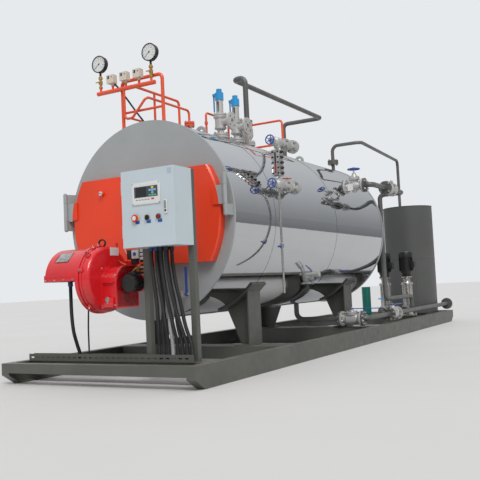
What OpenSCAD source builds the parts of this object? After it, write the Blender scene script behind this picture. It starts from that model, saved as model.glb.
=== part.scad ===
// Skid-mounted horizontal fire-tube steam boiler, in millimetres, +Z up.
// The burner end faces -Y. The origin is at the middle of the skid, on the floor.

/* [Skid] */
// Length of the skid
skid_len = 7700; // [7600:50:8500]
// Width over the two side beams
skid_w = 1980; // [1900:20:2200]
// Height of a side beam
beam_h = 180; // [160:10:220]
// Width of a side beam's flanges
beam_w = 80; // [70:5:100]
// Thickness of the channel sections
channel_t = 10; // [8:1:14]
// Height of the front and rear end beams
end_beam_h = 80; // [60:5:120]
// Height of the cross members
cross_h = 120; // [80:10:160]
// Width of the cross members
cross_w = 100; // [80:5:140]
// Length of the slanted nose under a side beam
nose_len = 130; // [80:10:200]

/* [Boiler] */
// Height of the boiler's axis above the floor
axis_z = 1375; // [1320:5:1450]
// Radius of the polished jacket
shell_r = 893; // [840:1:900]
// Thickness of the drum wall with its insulation and jacket
shell_wall = 100; // [60:5:140]
// Length from the front plate to the back of the rear plate
boiler_len = 3850; // [3700:25:4000]
// Distance from the front of the skid to the front plate
front_gap = 833; // [800:1:900]
// Radius of the front plate
plate_r = 900; // [900:1:930]
// Thickness of the front and rear plates
plate_t = 25; // [16:1:35]

/* [Smoke-box doors] */
// Radius of the doors' round sides
door_r = 809; // [780:1:830]
// Height of the doors above and below the axis
door_half_h = 410; // [380:5:420]
// Thickness of the doors
door_t = 80; // [60:5:95]
// Half of the gap where the doors meet
door_split = 8; // [7:0.5:12]
// Chamfer round the doors' front edge
door_chamfer = 12; // [6:1:20]
// Distance from the boiler's axis to a hinge pin
hinge_x = 878; // [870:1:900]
// Distance from the front plate to the hinge pins
hinge_y = 106; // [100:1:120]
// Diameter of the hinge knuckles
knuckle_d = 38; // [32:1:44]
// Diameter of the hinge pins
hinge_pin_d = 20; // [16:1:24]

/* [Saddles] */
// Distance from the boiler's axis to a saddle's outer plate
saddle_x = 600; // [560:5:640]
// Length of a saddle along the boiler
saddle_len = 240; // [200:10:300]
// Thickness of the saddle plates
saddle_t = 14; // [10:1:20]
// Distance from the front plate to the front saddle
front_saddle_y = 820; // [750:10:950]
// Distance from the front plate to the rear saddle
rear_saddle_y = 3240; // [3200:10:3400]

/* [Burner] */
// Height of the burner's axis
burner_z = 854; // [840:1:870]
// Distance from the front plate to the axis of the fan drum
burner_y = 572; // [560:1:590]
// Radius of the fan drum
burner_r = 282; // [270:1:290]
// Right-hand end of the fan drum
burner_right = 16; // [10:1:30]
// Length of the fan drum
burner_drum_len = 136; // [120:1:150]
// Diameter of the blast tube
blast_d = 210; // [190:5:220]
// Thickness of the burner's mounting flange
blast_flange_t = 22; // [16:1:30]
// Diameter of the burner's mounting flange
blast_flange_d = 250; // [240:2:260]
// Clearance of the doors' notch round the mounting flange
notch_gap = 8; // [6:1:12]
// Diameter of the fan motor
fan_motor_d = 150; // [130:5:170]

/* [Control cabinet] */
// Width of the cabinet
cabinet_w = 500; // [450:10:520]
// Height of the cabinet
cabinet_h = 600; // [550:10:650]
// Depth of the cabinet with its door
cabinet_d = 240; // [200:10:260]
// Thickness of the cabinet's sheet
cabinet_t = 3; // [2:0.5:5]
// Thickness of the cabinet's door
cabinet_door_t = 25; // [20:1:30]
// Left-hand side of the cabinet
cabinet_x = 335; // [320:5:350]
// Height of the cabinet's bottom
cabinet_z = 1080; // [1040:10:1120]
// Distance from the front plate to the cabinet's back
cabinet_y = 540; // [530:5:560]
// Side of the square legs of the stand
leg_w = 50; // [40:5:60]
// Height of the cable tray
tray_h = 60; // [50:5:80]
// Width of the cable tray
tray_w = 60; // [50:5:80]
// Thickness of the cable tray's sheet
tray_t = 3; // [2:0.5:4]

/* [Gauge manifold] */
// Height of the manifold tube
manifold_z = 2700; // [2690:5:2740]
// Distance from the front plate to the manifold tube
manifold_y = 250; // [230:5:270]
// Diameter of the manifold tube
manifold_d = 42; // [38:1:48]
// Diameter of the tube of its frame
frame_d = 34; // [32:1:38]
// Height of the frame's top bar above the manifold tube
frame_rise = 78; // [70:2:100]
// Left-hand leg of the frame
frame_left = -455; // [-470:5:-440]
// Right-hand leg of the frame
frame_right = 21; // [10:1:40]
// Diameter of the small orange pipes
small_pipe_d = 24; // [20:1:27]
// Left-hand end of the manifold
manifold_left = -735; // [-760:5:-720]
// Right-hand end of the manifold
manifold_right = -40; // [-50:5:-30]
// Diameter of the gauge cases
gauge_d = 170; // [160:5:180]

/* [Safety valves] */
// Distance from the front plate to the first safety valve
safety_y = 1354; // [1330:1:1370]
// Distance between the safety valves
safety_pitch = 342; // [330:1:350]
// Height of the safety valves' inlet flanges
nozzle_z = 2345; // [2335:1:2360]
// Diameter of the inlet flanges
inlet_flange_d = 165; // [150:1:170]
// Diameter of the outlet flanges
outlet_flange_d = 190; // [180:1:200]
// Distance from the front plate to the steam outlet valve
steam_y = 1950; // [1940:5:1990]
// Diameter of the steam pipe
steam_d = 60; // [50:1:66]
// Height of the steam pipe's long run
steam_run_z = 3120; // [3080:10:3160]
// Far end of the steam pipe's long run
steam_run_end = 4480; // [4400:20:4560]

/* [Level gauge] */
// Distance from the boiler's axis to the level gauge
level_x = 945; // [935:1:960]
// Distance from the front plate to the level gauge
level_y = 770; // [750:5:790]
// Height of the upper cock
level_top_z = 2068; // [2050:1:2090]
// Height of the lower cock
level_low_z = 1668; // [1650:1:1690]
// Diameter of the cocks' flanges
level_flange_d = 130; // [115:1:140]
// Diameter of the cocks' handwheels
level_wheel_d = 96; // [80:1:100]

/* [Feed line] */
// Distance from the front plate to the feed valve
feed_y = 2800; // [2750:10:2850]
// Height of the feed valve
feed_z = 1845; // [1835:1:1860]
// Left-hand flange face of the feed valve
feed_x = 815; // [810:1:830]
// Length of the feed valve over its flanges
feed_valve_len = 230; // [220:5:240]
// Diameter of the feed pipe
feed_d = 60; // [50:1:64]
// Diameter of the feed valve's handwheel
feed_wheel_d = 150; // [130:5:160]

/* [Water tank] */
// Radius of the tank
tank_r = 385; // [360:5:390]
// Wall of the tank
tank_wall = 6; // [5:1:8]
// Height of the tank
tank_h = 1695; // [1650:5:1750]
// Distance from the boiler's axis to the tank's axis
tank_x = 475; // [465:5:480]
// Distance from the front plate to the tank's axis
tank_y = 6390; // [6380:10:6420]

/* [Pumps] */
// Distance from the front plate to the pumps
pump_y = 5350; // [5300:10:5380]
// Distance from the boiler's axis to the right-hand pump
pump_x = 712; // [700:2:720]
// Distance between the two pumps
pump_pitch = 336; // [320:2:345]
// Height of a pump with its motor
pump_h = 950; // [900:10:1000]
// Diameter of the pump motors
pump_motor_d = 210; // [190:5:220]
// Height of the pumps' ports
pump_port_z = 270; // [260:5:290]
// Diameter of the pump pipes
pump_pipe_d = 48; // [42:1:54]
// Distance between the flange faces of a pump valve
pump_valve_len = 120; // [110:5:130]
// Diameter of the pump valves' handwheels
pump_wheel_d = 130; // [110:5:140]

/* [Blowdown line] */
// Distance from the front plate to the blowdown branch
blow_y = 3000; // [2980:5:3020]
// Height of the blowdown line
blow_z = 290; // [285:1:310]
// Distance from the boiler's axis to the long blowdown pipe
blow_x = 925; // [920:1:935]
// Diameter of the blowdown pipe
blow_d = 60; // [54:1:66]
// Diameter of the blowdown flanges
blow_flange_d = 180; // [165:5:190]

/* [Hidden] */
$fn = 64;
// Clearance between pieces that lie against a curved face
fit = 0.3;
// Clearance between moving pieces at a pin
pin_fit = 0.5;
// Length of pipe inside each end of an elbow
elbow_lap = 2;
// Distance from the front plate to the rear end of the skid
skid_end = skid_len - front_gap;
plate_y = -skid_len / 2 + front_gap;
jacket_z = axis_z + shell_r;
leg_left_x = cabinet_x + 5;
leg_right_x = cabinet_x + cabinet_w - 5 - leg_w;
burner_left = burner_right - burner_drum_len;

// Unit vector along v
function unit(v) = v / norm(v);
// Direction square to v, level unless v is upright
function across(v) = abs(v.z) > 0.9 * norm(v) ? unit(cross([0, 1, 0], v)) : unit(cross([0, 0, 1], v));
// Angle by which a route turns at its point i
function turn_at(p, i) = acos(unit(p[i] - p[i - 1]) * unit(p[i + 1] - p[i]));
// Length that a bend of radius r takes from each leg at point i
function bend_cut(p, i, r) = i == 0 || i == len(p) - 1 ? 0 : r * tan(turn_at(p, i) / 2);
// Height of the jacket over the point x on its top half
function jacket_top(x) = axis_z + sqrt(shell_r * shell_r - x * x);

// Everything on the boiler is placed from the front plate's face
module on_boiler() translate([0, plate_y, 0]) children();

// Turns +Z to the direction v and moves the origin to p
module aim(p, v) {
    z = unit(v);
    x = across(v);
    y = cross(z, x);
    multmatrix([[x.x, y.x, z.x, p.x], [x.y, y.y, z.y, p.y], [x.z, y.z, z.z, p.z], [0, 0, 0, 1]]) children();
}

module rod(p, q, d) aim(p, q - p) cylinder(h = norm(q - p), d = d);

// Elbow at b of a route from a through b to c
module elbow(a, b, c, d, r) {
    u = unit(b - a);
    v = unit(c - b);
    n = unit(v - u * (u * v));
    angle = acos(u * v);
    o = b - u * r * tan(angle / 2) + n * r;
    w = cross(-n, u);
    multmatrix([[-n.x, u.x, w.x, o.x], [-n.y, u.y, w.y, o.y], [-n.z, u.z, w.z, o.z], [0, 0, 0, 1]])
        rotate_extrude(angle = angle)
        translate([r, 0])
        circle(d = d);
}

// Pipe of diameter d through the points p, with slightly thicker elbows of radius r
module bent_pipe(p, d, r) {
    for (i = [0 : len(p) - 2]) {
        run = unit(p[i + 1] - p[i]);
        first = i == 0 ? 0 : bend_cut(p, i, r) - elbow_lap;
        last = i == len(p) - 2 ? 0 : bend_cut(p, i + 1, r) - elbow_lap;
        rod(p[i] + run * first, p[i + 1] - run * last, d);
    }
    for (i = [1 : 1 : len(p) - 2]) elbow(p[i - 1], p[i], p[i + 1], d + 1, r);
}

// Round flange whose face is at p, looking along v
module flange(p, v, d, t) aim(p, -v) cylinder(h = t, d = d);

// Keeps what it is given outside the jacket
module outside_jacket() {
    difference() {
        children();
        translate([0, -1, axis_z]) rotate([-90, 0, 0]) cylinder(h = boiler_len + 2, r = shell_r + fit, $fn = 180);
    }
}

// Handwheel in the XY plane, with its hub from z 0 up
module handwheel(d, rim, hub_d, hub_h, spokes) {
    rotate_extrude() translate([d / 2 - rim / 2, hub_h / 2]) circle(d = rim, $fn = 24);
    difference() {
        union() {
            cylinder(h = hub_h, d = hub_d);
            for (i = [0 : spokes - 1]) rotate(i * 360 / spokes) translate([0, 0, hub_h / 2])
                rod([hub_d / 4, 0, 0], [d / 2 - rim / 2, 0, 0], rim * 0.6);
        }
        translate([0, 0, -1]) cylinder(h = hub_h + 2, d = hub_d * 0.5);
    }
}

// Channel section of the skid, with its web at x 0 and its flanges to +X
module channel_2d(w, h, t) {
    difference() {
        square([w, h]);
        translate([t, t]) square([w, h - 2 * t]);
    }
}

// Side beam with its web at x 0 and slanted ends
module side_beam() {
    difference() {
        union() {
            translate([0, skid_len / 2, 0]) rotate([90, 0, 0]) linear_extrude(skid_len)
                channel_2d(beam_w, beam_h, channel_t);
            for (s = [-1, 1]) scale_y(s) translate([0, -skid_len / 2, 0]) cube([beam_w, channel_t, beam_h]);
        }
        for (s = [-1, 1]) scale_y(s) nose_cut();
    }
    for (s = [-1, 1]) scale_y(s) nose_plate();
}

module scale_y(s) mirror([0, s < 0 ? 0 : 1, 0]) children();

module nose_cut() {
    translate([-1, 0, 0]) rotate([90, 0, 90]) linear_extrude(beam_w + 2)
        polygon([[-skid_len / 2 - 1, end_beam_h + 1], [-skid_len / 2 - 1, -1], [-skid_len / 2 + nose_len, -1],
                 [-skid_len / 2 + nose_len, 0], [-skid_len / 2, end_beam_h]]);
}

module nose_plate() {
    rotate([90, 0, 90]) linear_extrude(beam_w)
        polygon([[-skid_len / 2, end_beam_h], [-skid_len / 2 + nose_len, 0],
                 [-skid_len / 2 + nose_len + channel_t, 0], [-skid_len / 2 + channel_t, end_beam_h],
                 [-skid_len / 2, end_beam_h + channel_t]]);
}

module left_skid_beam() {
    color("dimgray") translate([-skid_w / 2, 0, 0]) side_beam();
}

module right_skid_beam() {
    color("dimgray") translate([skid_w / 2, 0, 0]) mirror([1, 0, 0]) side_beam();
}

// Level channel between the side beams, with its web at y and its flanges to +Y
module cross_channel(y, w, h) {
    translate([-skid_w / 2 + beam_w, y, beam_h - h]) rotate([90, 0, 90]) linear_extrude(skid_w - 2 * beam_w)
        channel_2d(w, h, channel_t);
}

module front_skid_beam() {
    color("dimgray") cross_channel(-skid_len / 2, beam_w, end_beam_h);
}

module rear_skid_beam() {
    color("dimgray") mirror([0, 1, 0]) cross_channel(-skid_len / 2, beam_w, end_beam_h);
}

stand_cross_y = plate_y - cabinet_y - tray_w / 2 - 10;
module skid_cross_members() {
    color("dimgray") {
        cross_channel(stand_cross_y, cross_w, cross_h);
        for (y = [front_saddle_y, rear_saddle_y]) {
            cross_channel(plate_y + y - saddle_len / 2, cross_w, cross_h);
            cross_channel(plate_y + y + saddle_len / 2 - cross_w, cross_w, cross_h);
        }
        for (y = [pump_y, tank_y - tank_r / 2, tank_y + tank_r / 2])
            cross_channel(plate_y + y - cross_w / 2, cross_w, cross_h);
        translate([-skid_w / 2 + beam_w, -cross_w / 2, 0]) cube([skid_w - 2 * beam_w, cross_w, channel_t]);
        translate([-skid_w / 2 + beam_w, -channel_t / 2, 0]) cube([skid_w - 2 * beam_w, channel_t, beam_h]);
    }
}

// One leg of a saddle on the +X side, centred on y 0
module saddle_leg() {
    pad_t = saddle_t;
    pad_r = shell_r + fit + pad_t;
    difference() {
        union() {
            translate([0, saddle_t / 2, 0]) rotate([90, 0, 0]) linear_extrude(saddle_t)
                polygon([[saddle_x - 150, beam_h], [saddle_x, beam_h], [saddle_x, axis_z],
                         [saddle_x - 290, axis_z], [saddle_x - 290, beam_h + 330]]);
            translate([saddle_x - saddle_t, -saddle_len / 2, beam_h]) cube([saddle_t, saddle_len, axis_z - beam_h]);
            translate([saddle_x - 170, -saddle_len / 2, beam_h]) cube([170, saddle_len, saddle_t]);
        }
        translate([0, -saddle_len, axis_z]) rotate([-90, 0, 0]) cylinder(h = 2 * saddle_len, r = pad_r, $fn = 180);
    }
    translate([0, saddle_len / 2 + 20, axis_z]) rotate([90, 0, 0]) rotate([0, 0, -72])
        rotate_extrude(angle = 29, $fn = 180) translate([shell_r + fit, 0]) square([pad_t, saddle_len + 40]);
}

module saddle(y) {
    on_boiler() translate([0, y, 0]) {
        saddle_leg();
        mirror([1, 0, 0]) saddle_leg();
    }
}

module front_saddle() {
    color("dimgray") saddle(front_saddle_y);
}

module rear_saddle() {
    color("dimgray") saddle(rear_saddle_y);
}

module boiler_shell() {
    color("gainsboro") on_boiler() translate([0, plate_t, axis_z]) rotate([-90, 0, 0]) difference() {
        cylinder(h = boiler_len - 2 * plate_t, r = shell_r, $fn = 180);
        translate([0, 0, -1]) cylinder(h = boiler_len, r = shell_r - shell_wall, $fn = 180);
    }
}

module front_plate() {
    color("darkgray") on_boiler() translate([0, 0, axis_z]) rotate([-90, 0, 0])
        cylinder(h = plate_t, r = plate_r, $fn = 180);
}

module rear_plate() {
    color("darkgray") on_boiler() translate([0, boiler_len - plate_t, axis_z]) rotate([-90, 0, 0])
        cylinder(h = plate_t, r = plate_r, $fn = 180);
}

knuckle_low = axis_z + 60;
knuckle_high = axis_z + 220;
hinge_low = axis_z - 34;
hinge_high = axis_z + 308;

// Door on the +X side, seen from the front, with its hinge leaf
module smoke_door() {
    back = 0.5;
    difference() {
        union() {
            intersection() {
                translate([0, -back, axis_z]) rotate([90, 0, 0]) union() {
                    cylinder(h = door_t - door_chamfer, r = door_r, $fn = 180);
                    translate([0, 0, door_t - door_chamfer])
                        cylinder(h = door_chamfer, r1 = door_r, r2 = door_r - door_chamfer, $fn = 180);
                }
                translate([door_split, -door_t - back - 1, axis_z - door_half_h])
                    cube([door_r, door_t + 2, 2 * door_half_h]);
            }
            translate([hinge_x - 130, -door_t - back - 16, knuckle_low]) cube([130, 16, knuckle_high - knuckle_low]);
            translate([hinge_x, -hinge_y, knuckle_low]) cylinder(h = knuckle_high - knuckle_low, d = knuckle_d);
        }
        translate([hinge_x, -hinge_y, knuckle_low - 1])
            cylinder(h = knuckle_high - knuckle_low + 2, d = hinge_pin_d + 2 * pin_fit);
        rod([0, 1, burner_z], [0, -door_t - back - 1, burner_z], blast_flange_d + 2 * notch_gap);
    }
}

module right_smoke_door() {
    color("orangered") on_boiler() smoke_door();
}

module left_smoke_door() {
    color("orangered") on_boiler() {
        mirror([1, 0, 0]) smoke_door();
        translate([-440, -door_t - 0.5, axis_z + 274]) rotate([90, 0, 0]) {
            cylinder(h = 22, d = 22);
            translate([0, 0, 22]) sphere(d = 44);
        }
    }
}

// Arm from the front plate to a fixed knuckle
module hinge_arm(z_low, z_high, foot_in, foot_out) {
    translate([0, 0, z_low]) linear_extrude(z_high - z_low)
        polygon([[foot_in, 0], [foot_out, 0], [hinge_x + 14, -hinge_y + 8], [hinge_x - 14, -hinge_y + 8]]);
    translate([hinge_x, -hinge_y, z_low]) cylinder(h = z_high - z_low, d = knuckle_d);
}

module hinge_bracket() {
    hinge_arm(hinge_low, knuckle_low - 2, 840, 890);
    hinge_arm(knuckle_high + 2, hinge_high, 812, 842);
    translate([hinge_x, -hinge_y, hinge_low]) cylinder(h = hinge_high - hinge_low, d = hinge_pin_d);
}

module door_hinges() {
    color("darkgray") on_boiler() {
        hinge_bracket();
        mirror([1, 0, 0]) hinge_bracket();
    }
}

module lug(y) {
    translate([0, y + 12, 0]) rotate([90, 0, 0]) linear_extrude(24) difference() {
        union() {
            translate([-60, axis_z + shell_r - 60]) square([120, 120]);
            translate([0, jacket_z + 60]) circle(d = 120);
        }
        translate([0, jacket_z + 62]) circle(d = 56);
    }
}

module lifting_lugs() {
    color("darkgray") on_boiler() outside_jacket() {
        lug(960);
        lug(3320);
    }
}

burner_mouth_y = -burner_y + burner_r + 20;
module burner_head() {
    color("silver") on_boiler() {
        rod([0, 0, burner_z], [0, -blast_flange_t, burner_z], blast_flange_d);
        rod([0, -blast_flange_t, burner_z], [0, burner_mouth_y, burner_z], blast_d);
    }
}

// Fan drum with its axis along X
module burner_housing() {
    color("red") on_boiler() {
        rod([burner_left, -burner_y, burner_z], [burner_left + 50, -burner_y, burner_z], 2 * burner_r);
        rod([burner_left + 50, -burner_y, burner_z], [burner_left + 62, -burner_y, burner_z], 2 * burner_r - 24);
        rod([burner_left + 62, -burner_y, burner_z], [burner_right, -burner_y, burner_z], 2 * burner_r);
        translate([burner_left, -burner_y, burner_z - 150]) cube([burner_drum_len, burner_r + 20, 300]);
    }
}

module burner_control_box() {
    color("red") on_boiler() intersection() {
        rod([-455, -burner_y, burner_z], [burner_left, -burner_y, burner_z], 2 * burner_r - 30);
        translate([-455, -burner_y - 300, burner_z - 20]) cube([455, 600, 300]);
    }
}

module burner_fan_block() {
    color("red") on_boiler() {
        translate([burner_right, -burner_y - 145, burner_z - 150]) cube([184, 290, 180]);
        intersection() {
            rod([burner_right, -burner_y, burner_z - 30], [burner_right + 184, -burner_y, burner_z - 30], 290);
            translate([burner_right, -burner_y - 145, burner_z + 20]) cube([184, 290, 200]);
        }
    }
}

module burner_motor() {
    color("black") on_boiler()
        rod([120, -burner_y - 145, burner_z - 40], [120, -burner_y - 320, burner_z - 40], fan_motor_d);
}

cabinet_front = -cabinet_y - cabinet_d;
cabinet_hinge = [cabinet_x - 8, cabinet_front + cabinet_door_t / 2, cabinet_z];
hinge_heights = [100, cabinet_h - 160];
module cabinet_box() {
    color("aliceblue") on_boiler() {
        difference() {
            translate([cabinet_x, cabinet_front + cabinet_door_t + 1, cabinet_z])
                cube([cabinet_w, cabinet_d - cabinet_door_t - 1, cabinet_h]);
            translate([cabinet_x + cabinet_t, cabinet_front, cabinet_z + cabinet_t])
                cube([cabinet_w - 2 * cabinet_t, cabinet_d - cabinet_t, cabinet_h - 2 * cabinet_t]);
        }
        for (h = hinge_heights, end = [-22, 62]) {
            translate(cabinet_hinge + [0, 0, h + end]) cylinder(h = 20, d = 10);
            translate(cabinet_hinge + [-5, 0, h + end]) cube([5, cabinet_door_t / 2 + 26, 20]);
            translate(cabinet_hinge + [-5, cabinet_door_t / 2 + 6, h + end]) cube([13, 20, 20]);
        }
        for (h = hinge_heights) translate(cabinet_hinge + [0, 0, h - 10]) cylinder(h = 80, d = 6);
    }
}

module cabinet_door() {
    color("aliceblue") on_boiler() {
        difference() {
            translate([cabinet_x, cabinet_front, cabinet_z]) cube([cabinet_w, cabinet_door_t, cabinet_h]);
            translate([cabinet_x + cabinet_t, cabinet_front + cabinet_t, cabinet_z + cabinet_t])
                cube([cabinet_w - 2 * cabinet_t, cabinet_door_t, cabinet_h - 2 * cabinet_t]);
        }
        for (h = hinge_heights) translate(cabinet_hinge + [0, 0, h]) difference() {
            union() {
                cylinder(h = 60, d = 10);
                translate([0, -5, 0]) cube([9, 3, 60]);
            }
            translate([0, 0, -1]) cylinder(h = 62, d = 6 + 2 * pin_fit);
        }
    }
}

module cabinet_controls() {
    color("black") on_boiler() {
        translate([cabinet_x + 150, cabinet_front - 6, cabinet_z + 330]) cube([190, 6, 150]);
        translate([cabinet_x + cabinet_w - 45, cabinet_front - 14, cabinet_z + 300]) cube([24, 14, 110]);
        for (i = [0 : 2])
            rod([cabinet_x + 130 + i * 85, cabinet_front, cabinet_z + 215],
                [cabinet_x + 130 + i * 85, cabinet_front - 30, cabinet_z + 215], 34);
    }
}

module cabinet_stand() {
    color("dimgray") on_boiler() {
        for (x = [leg_left_x, leg_right_x])
            translate([x, -cabinet_y, beam_h]) cube([leg_w, leg_w, cabinet_z + cabinet_h - beam_h]);
        for (z = [cabinet_z + 60, cabinet_z + cabinet_h - 100])
            translate([leg_left_x + leg_w, -cabinet_y, z]) cube([leg_right_x - leg_left_x - leg_w, leg_w, 40]);
    }
}

tray_left = -skid_w / 2 + beam_w + 10;
tray_len = leg_right_x + leg_w - tray_left;
tray_y = -cabinet_y - tray_w;
module cable_tray() {
    color("dimgray") on_boiler() difference() {
        translate([tray_left, tray_y, beam_h]) cube([tray_len, tray_w, tray_h]);
        translate([tray_left - 1, tray_y + tray_t, beam_h + tray_t])
            cube([tray_len + 2, tray_w - 2 * tray_t, tray_h]);
        for (i = [0 : 27]) translate([tray_left + 25 + i * 60, tray_y - 1, beam_h + tray_h / 2 - 6])
            cube([36, tray_t + 2, 12]);
    }
}

// Square-on ring of a cord at point i
function cord_dir(p, i) = unit(p[min(i + 1, len(p) - 1)] - p[max(i - 1, 0)]);
function cord_ring(p, i, d, n) = let (z = cord_dir(p, i), x = unit(cross([0.02, 1, 0.01], z)), y = cross(z, x))
    [for (k = [0 : n - 1]) p[i] + d / 2 * (cos(k * 360 / n) * x + sin(k * 360 / n) * y)];
module cord(p, d, n = 8) {
    last = (len(p) - 1) * n;
    points = [for (i = [0 : len(p) - 1]) each cord_ring(p, i, d, n)];
    sides = [for (i = [0 : len(p) - 2], k = [0 : n - 1])
        [i * n + k, (i + 1) * n + k, (i + 1) * n + (k + 1) % n, i * n + (k + 1) % n]];
    polyhedron(points, concat([[for (k = [0 : n - 1]) k]], sides, [[for (k = [n - 1 : -1 : 0]) last + k]]));
}

module control_cables() {
    color("black") on_boiler() {
        for (i = [0 : 8]) {
            x = cabinet_x + 60 + i * 42;
            cord([[x, -640, cabinet_z], [x, -640, 980], [x + 6, -630, 760], [x + 10, -600, 520],
                  [x + 10, -574, 340], [x + 8, -570, 240], [x + 4, -570, 205]], 20);
        }
        cord([[-330, -640, burner_z - 20], [-330, -640, 720], [-320, -630, 560], [-310, -600, 400],
              [-310, -574, 290], [-310, -570, 205]], 16);
    }
}

frame_y = manifold_y + 34;
frame_z = manifold_z + frame_rise;
brace_z = 2467;
siphon_x = -410;
siphon_low_z = 2400;
siphon_run_x = -147;
siphon_run_z = 2575;
siphon_flange = [siphon_run_x, 975, 2455];
balance_x = -285;
balance_y = 1000;
drum_in = axis_z + shell_r - 150;
module gauge_manifold() {
    color("orangered") on_boiler() outside_jacket() {
        rod([manifold_left, manifold_y, manifold_z], [manifold_right, manifold_y, manifold_z], manifold_d);
        for (x = [manifold_left + 40, manifold_left + 190, manifold_left + 350, manifold_left + 510,
                  manifold_right - 40])
            rod([x, manifold_y, manifold_z], [x, manifold_y, manifold_z + 50], small_pipe_d);
        bent_pipe([[frame_left, frame_y, drum_in], [frame_left, frame_y, frame_z], [frame_right, frame_y, frame_z],
                   [frame_right, frame_y, drum_in]], frame_d, 45);
        rod([frame_left, frame_y, brace_z], [frame_right, frame_y, brace_z], small_pipe_d);
        bent_pipe([[siphon_x, manifold_y, manifold_z], [siphon_x, manifold_y, siphon_low_z],
                   [-320, manifold_y, siphon_low_z], [siphon_run_x, manifold_y, siphon_run_z],
                   [siphon_run_x, siphon_flange.y, siphon_run_z], siphon_flange], small_pipe_d, 42);
        bent_pipe([[-345, manifold_y, siphon_low_z], [-345, 560, siphon_low_z], [-345, 560, drum_in]],
                  small_pipe_d - 3, 40);
        bent_pipe([[balance_x, manifold_y, manifold_z], [balance_x, balance_y, manifold_z],
                   [balance_x, balance_y, drum_in]], small_pipe_d + 2, 42);
        rod([balance_x, 570, manifold_z], [balance_x, 570, drum_in], small_pipe_d);
        rod(siphon_flange - [0, 0, 20], siphon_flange, 105);
        rod(siphon_flange - [0, 0, 44], siphon_flange - [0, 0, 24], 105);
        rod([siphon_flange.x, siphon_flange.y, drum_in], siphon_flange - [0, 0, 10], 40);
    }
}

module pressure_gauges() {
    color("black") on_boiler() for (x = [manifold_left + 40, manifold_right - 40]) {
        rod([x, manifold_y - 22, manifold_z + 290], [x, manifold_y + 22, manifold_z + 290], gauge_d);
        rod([x, manifold_y, manifold_z + 170], [x, manifold_y, manifold_z + 290], 18);
    }
}

module gauge_cocks() {
    color("goldenrod") on_boiler() for (x = [manifold_left + 40, manifold_right - 40]) {
        rod([x, manifold_y, manifold_z + 50], [x, manifold_y, manifold_z + 170], 28);
        rod([x - 30, manifold_y, manifold_z + 105], [x + 30, manifold_y, manifold_z + 105], 22);
    }
}

module pressure_switches() {
    color("wheat") on_boiler() for (i = [0 : 2]) {
        x = manifold_left + 190 + i * 160;
        translate([x - 42, manifold_y - 45, manifold_z + 70]) cube([84, 60, 82]);
        rod([x, manifold_y, manifold_z + 50], [x, manifold_y, manifold_z + 72], 32);
    }
}

// Safety valve body on its inlet flange, with its outlet to +X
module safety_valve(y) {
    outlet_z = nozzle_z + 165;
    rod([0, y, axis_z + shell_r - 10], [0, y, nozzle_z - 20], 90);
    flange([0, y, nozzle_z], [0, 0, 1], inlet_flange_d, 20);
    flange([0, y, nozzle_z + 26], [0, 0, 1], inlet_flange_d, 22);
    rod([0, y, nozzle_z], [0, y, nozzle_z + 90], 80);
    rod([0, y, nozzle_z + 80], [0, y, nozzle_z + 240], 130);
    rod([0, y, nozzle_z + 225], [0, y, nozzle_z + 245], 150);
    rod([0, y, nozzle_z + 240], [0, y, nozzle_z + 390], 88);
    rod([0, y, outlet_z], [150, y, outlet_z], 96);
    flange([150, y, outlet_z], [1, 0, 0], outlet_flange_d, 22);
}

module safety_valves() {
    color("silver") on_boiler() outside_jacket() {
        safety_valve(safety_y);
        safety_valve(safety_y + safety_pitch);
    }
}

cap_z = nozzle_z + 390;
lift_pin = [-60, 0, cap_z + 62];
module safety_valve_caps() {
    color("dodgerblue") on_boiler() for (y = [safety_y, safety_y + safety_pitch]) translate([0, y, 0]) {
        rod([0, 0, cap_z], [0, 0, cap_z + 80], 92);
        rod([0, 0, cap_z + 80], [0, 0, cap_z + 120], 60);
        for (s = [-1, 1]) translate([lift_pin.x - 12, s * 19 - 3, lift_pin.z - 14]) cube([36, 6, 28]);
        rod(lift_pin - [0, 24, 0], lift_pin + [0, 24, 0], 10);
    }
}

module lift_lever(y) {
    translate([0, y, 0]) difference() {
        union() {
            rod(lift_pin - [0, 14, 0], lift_pin + [0, 14, 0], 24);
            translate([lift_pin.x - 13, -8, cap_z - 120]) cube([10, 16, 174]);
        }
        rod(lift_pin - [0, 15, 0], lift_pin + [0, 15, 0], 10 + 2 * pin_fit);
    }
}

module front_lift_lever() {
    color("dodgerblue") on_boiler() lift_lever(safety_y);
}

module rear_lift_lever() {
    color("dodgerblue") on_boiler() lift_lever(safety_y + safety_pitch);
}

module steam_outlet_valve() {
    color("silver") on_boiler() outside_jacket() {
        rod([0, steam_y, axis_z + shell_r - 10], [0, steam_y, nozzle_z - 20], 70);
        flange([0, steam_y, nozzle_z], [0, 0, 1], inlet_flange_d, 20);
        flange([0, steam_y, nozzle_z + 24], [0, 0, 1], inlet_flange_d, 20);
        rod([0, steam_y, nozzle_z], [0, steam_y, nozzle_z + 250], 70);
        translate([0, steam_y, nozzle_z + 130]) sphere(d = 120);
        flange([0, steam_y, nozzle_z + 250], [0, 0, 1], 125, 20);
    }
}

module steam_pipe() {
    color("gray") on_boiler() {
        flange([0, steam_y, nozzle_z + 250], [0, 0, -1], 125, 20);
        bent_pipe([[0, steam_y, nozzle_z + 250], [0, steam_y, steam_run_z], [-150, steam_y, steam_run_z],
                   [-150, steam_run_end, steam_run_z], [-760, steam_run_end, steam_run_z],
                   [-760, steam_run_end, 700]], steam_d, 70);
        flange([-760, steam_run_end, 700], [0, 0, -1], inlet_flange_d, 20);
    }
}

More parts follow.
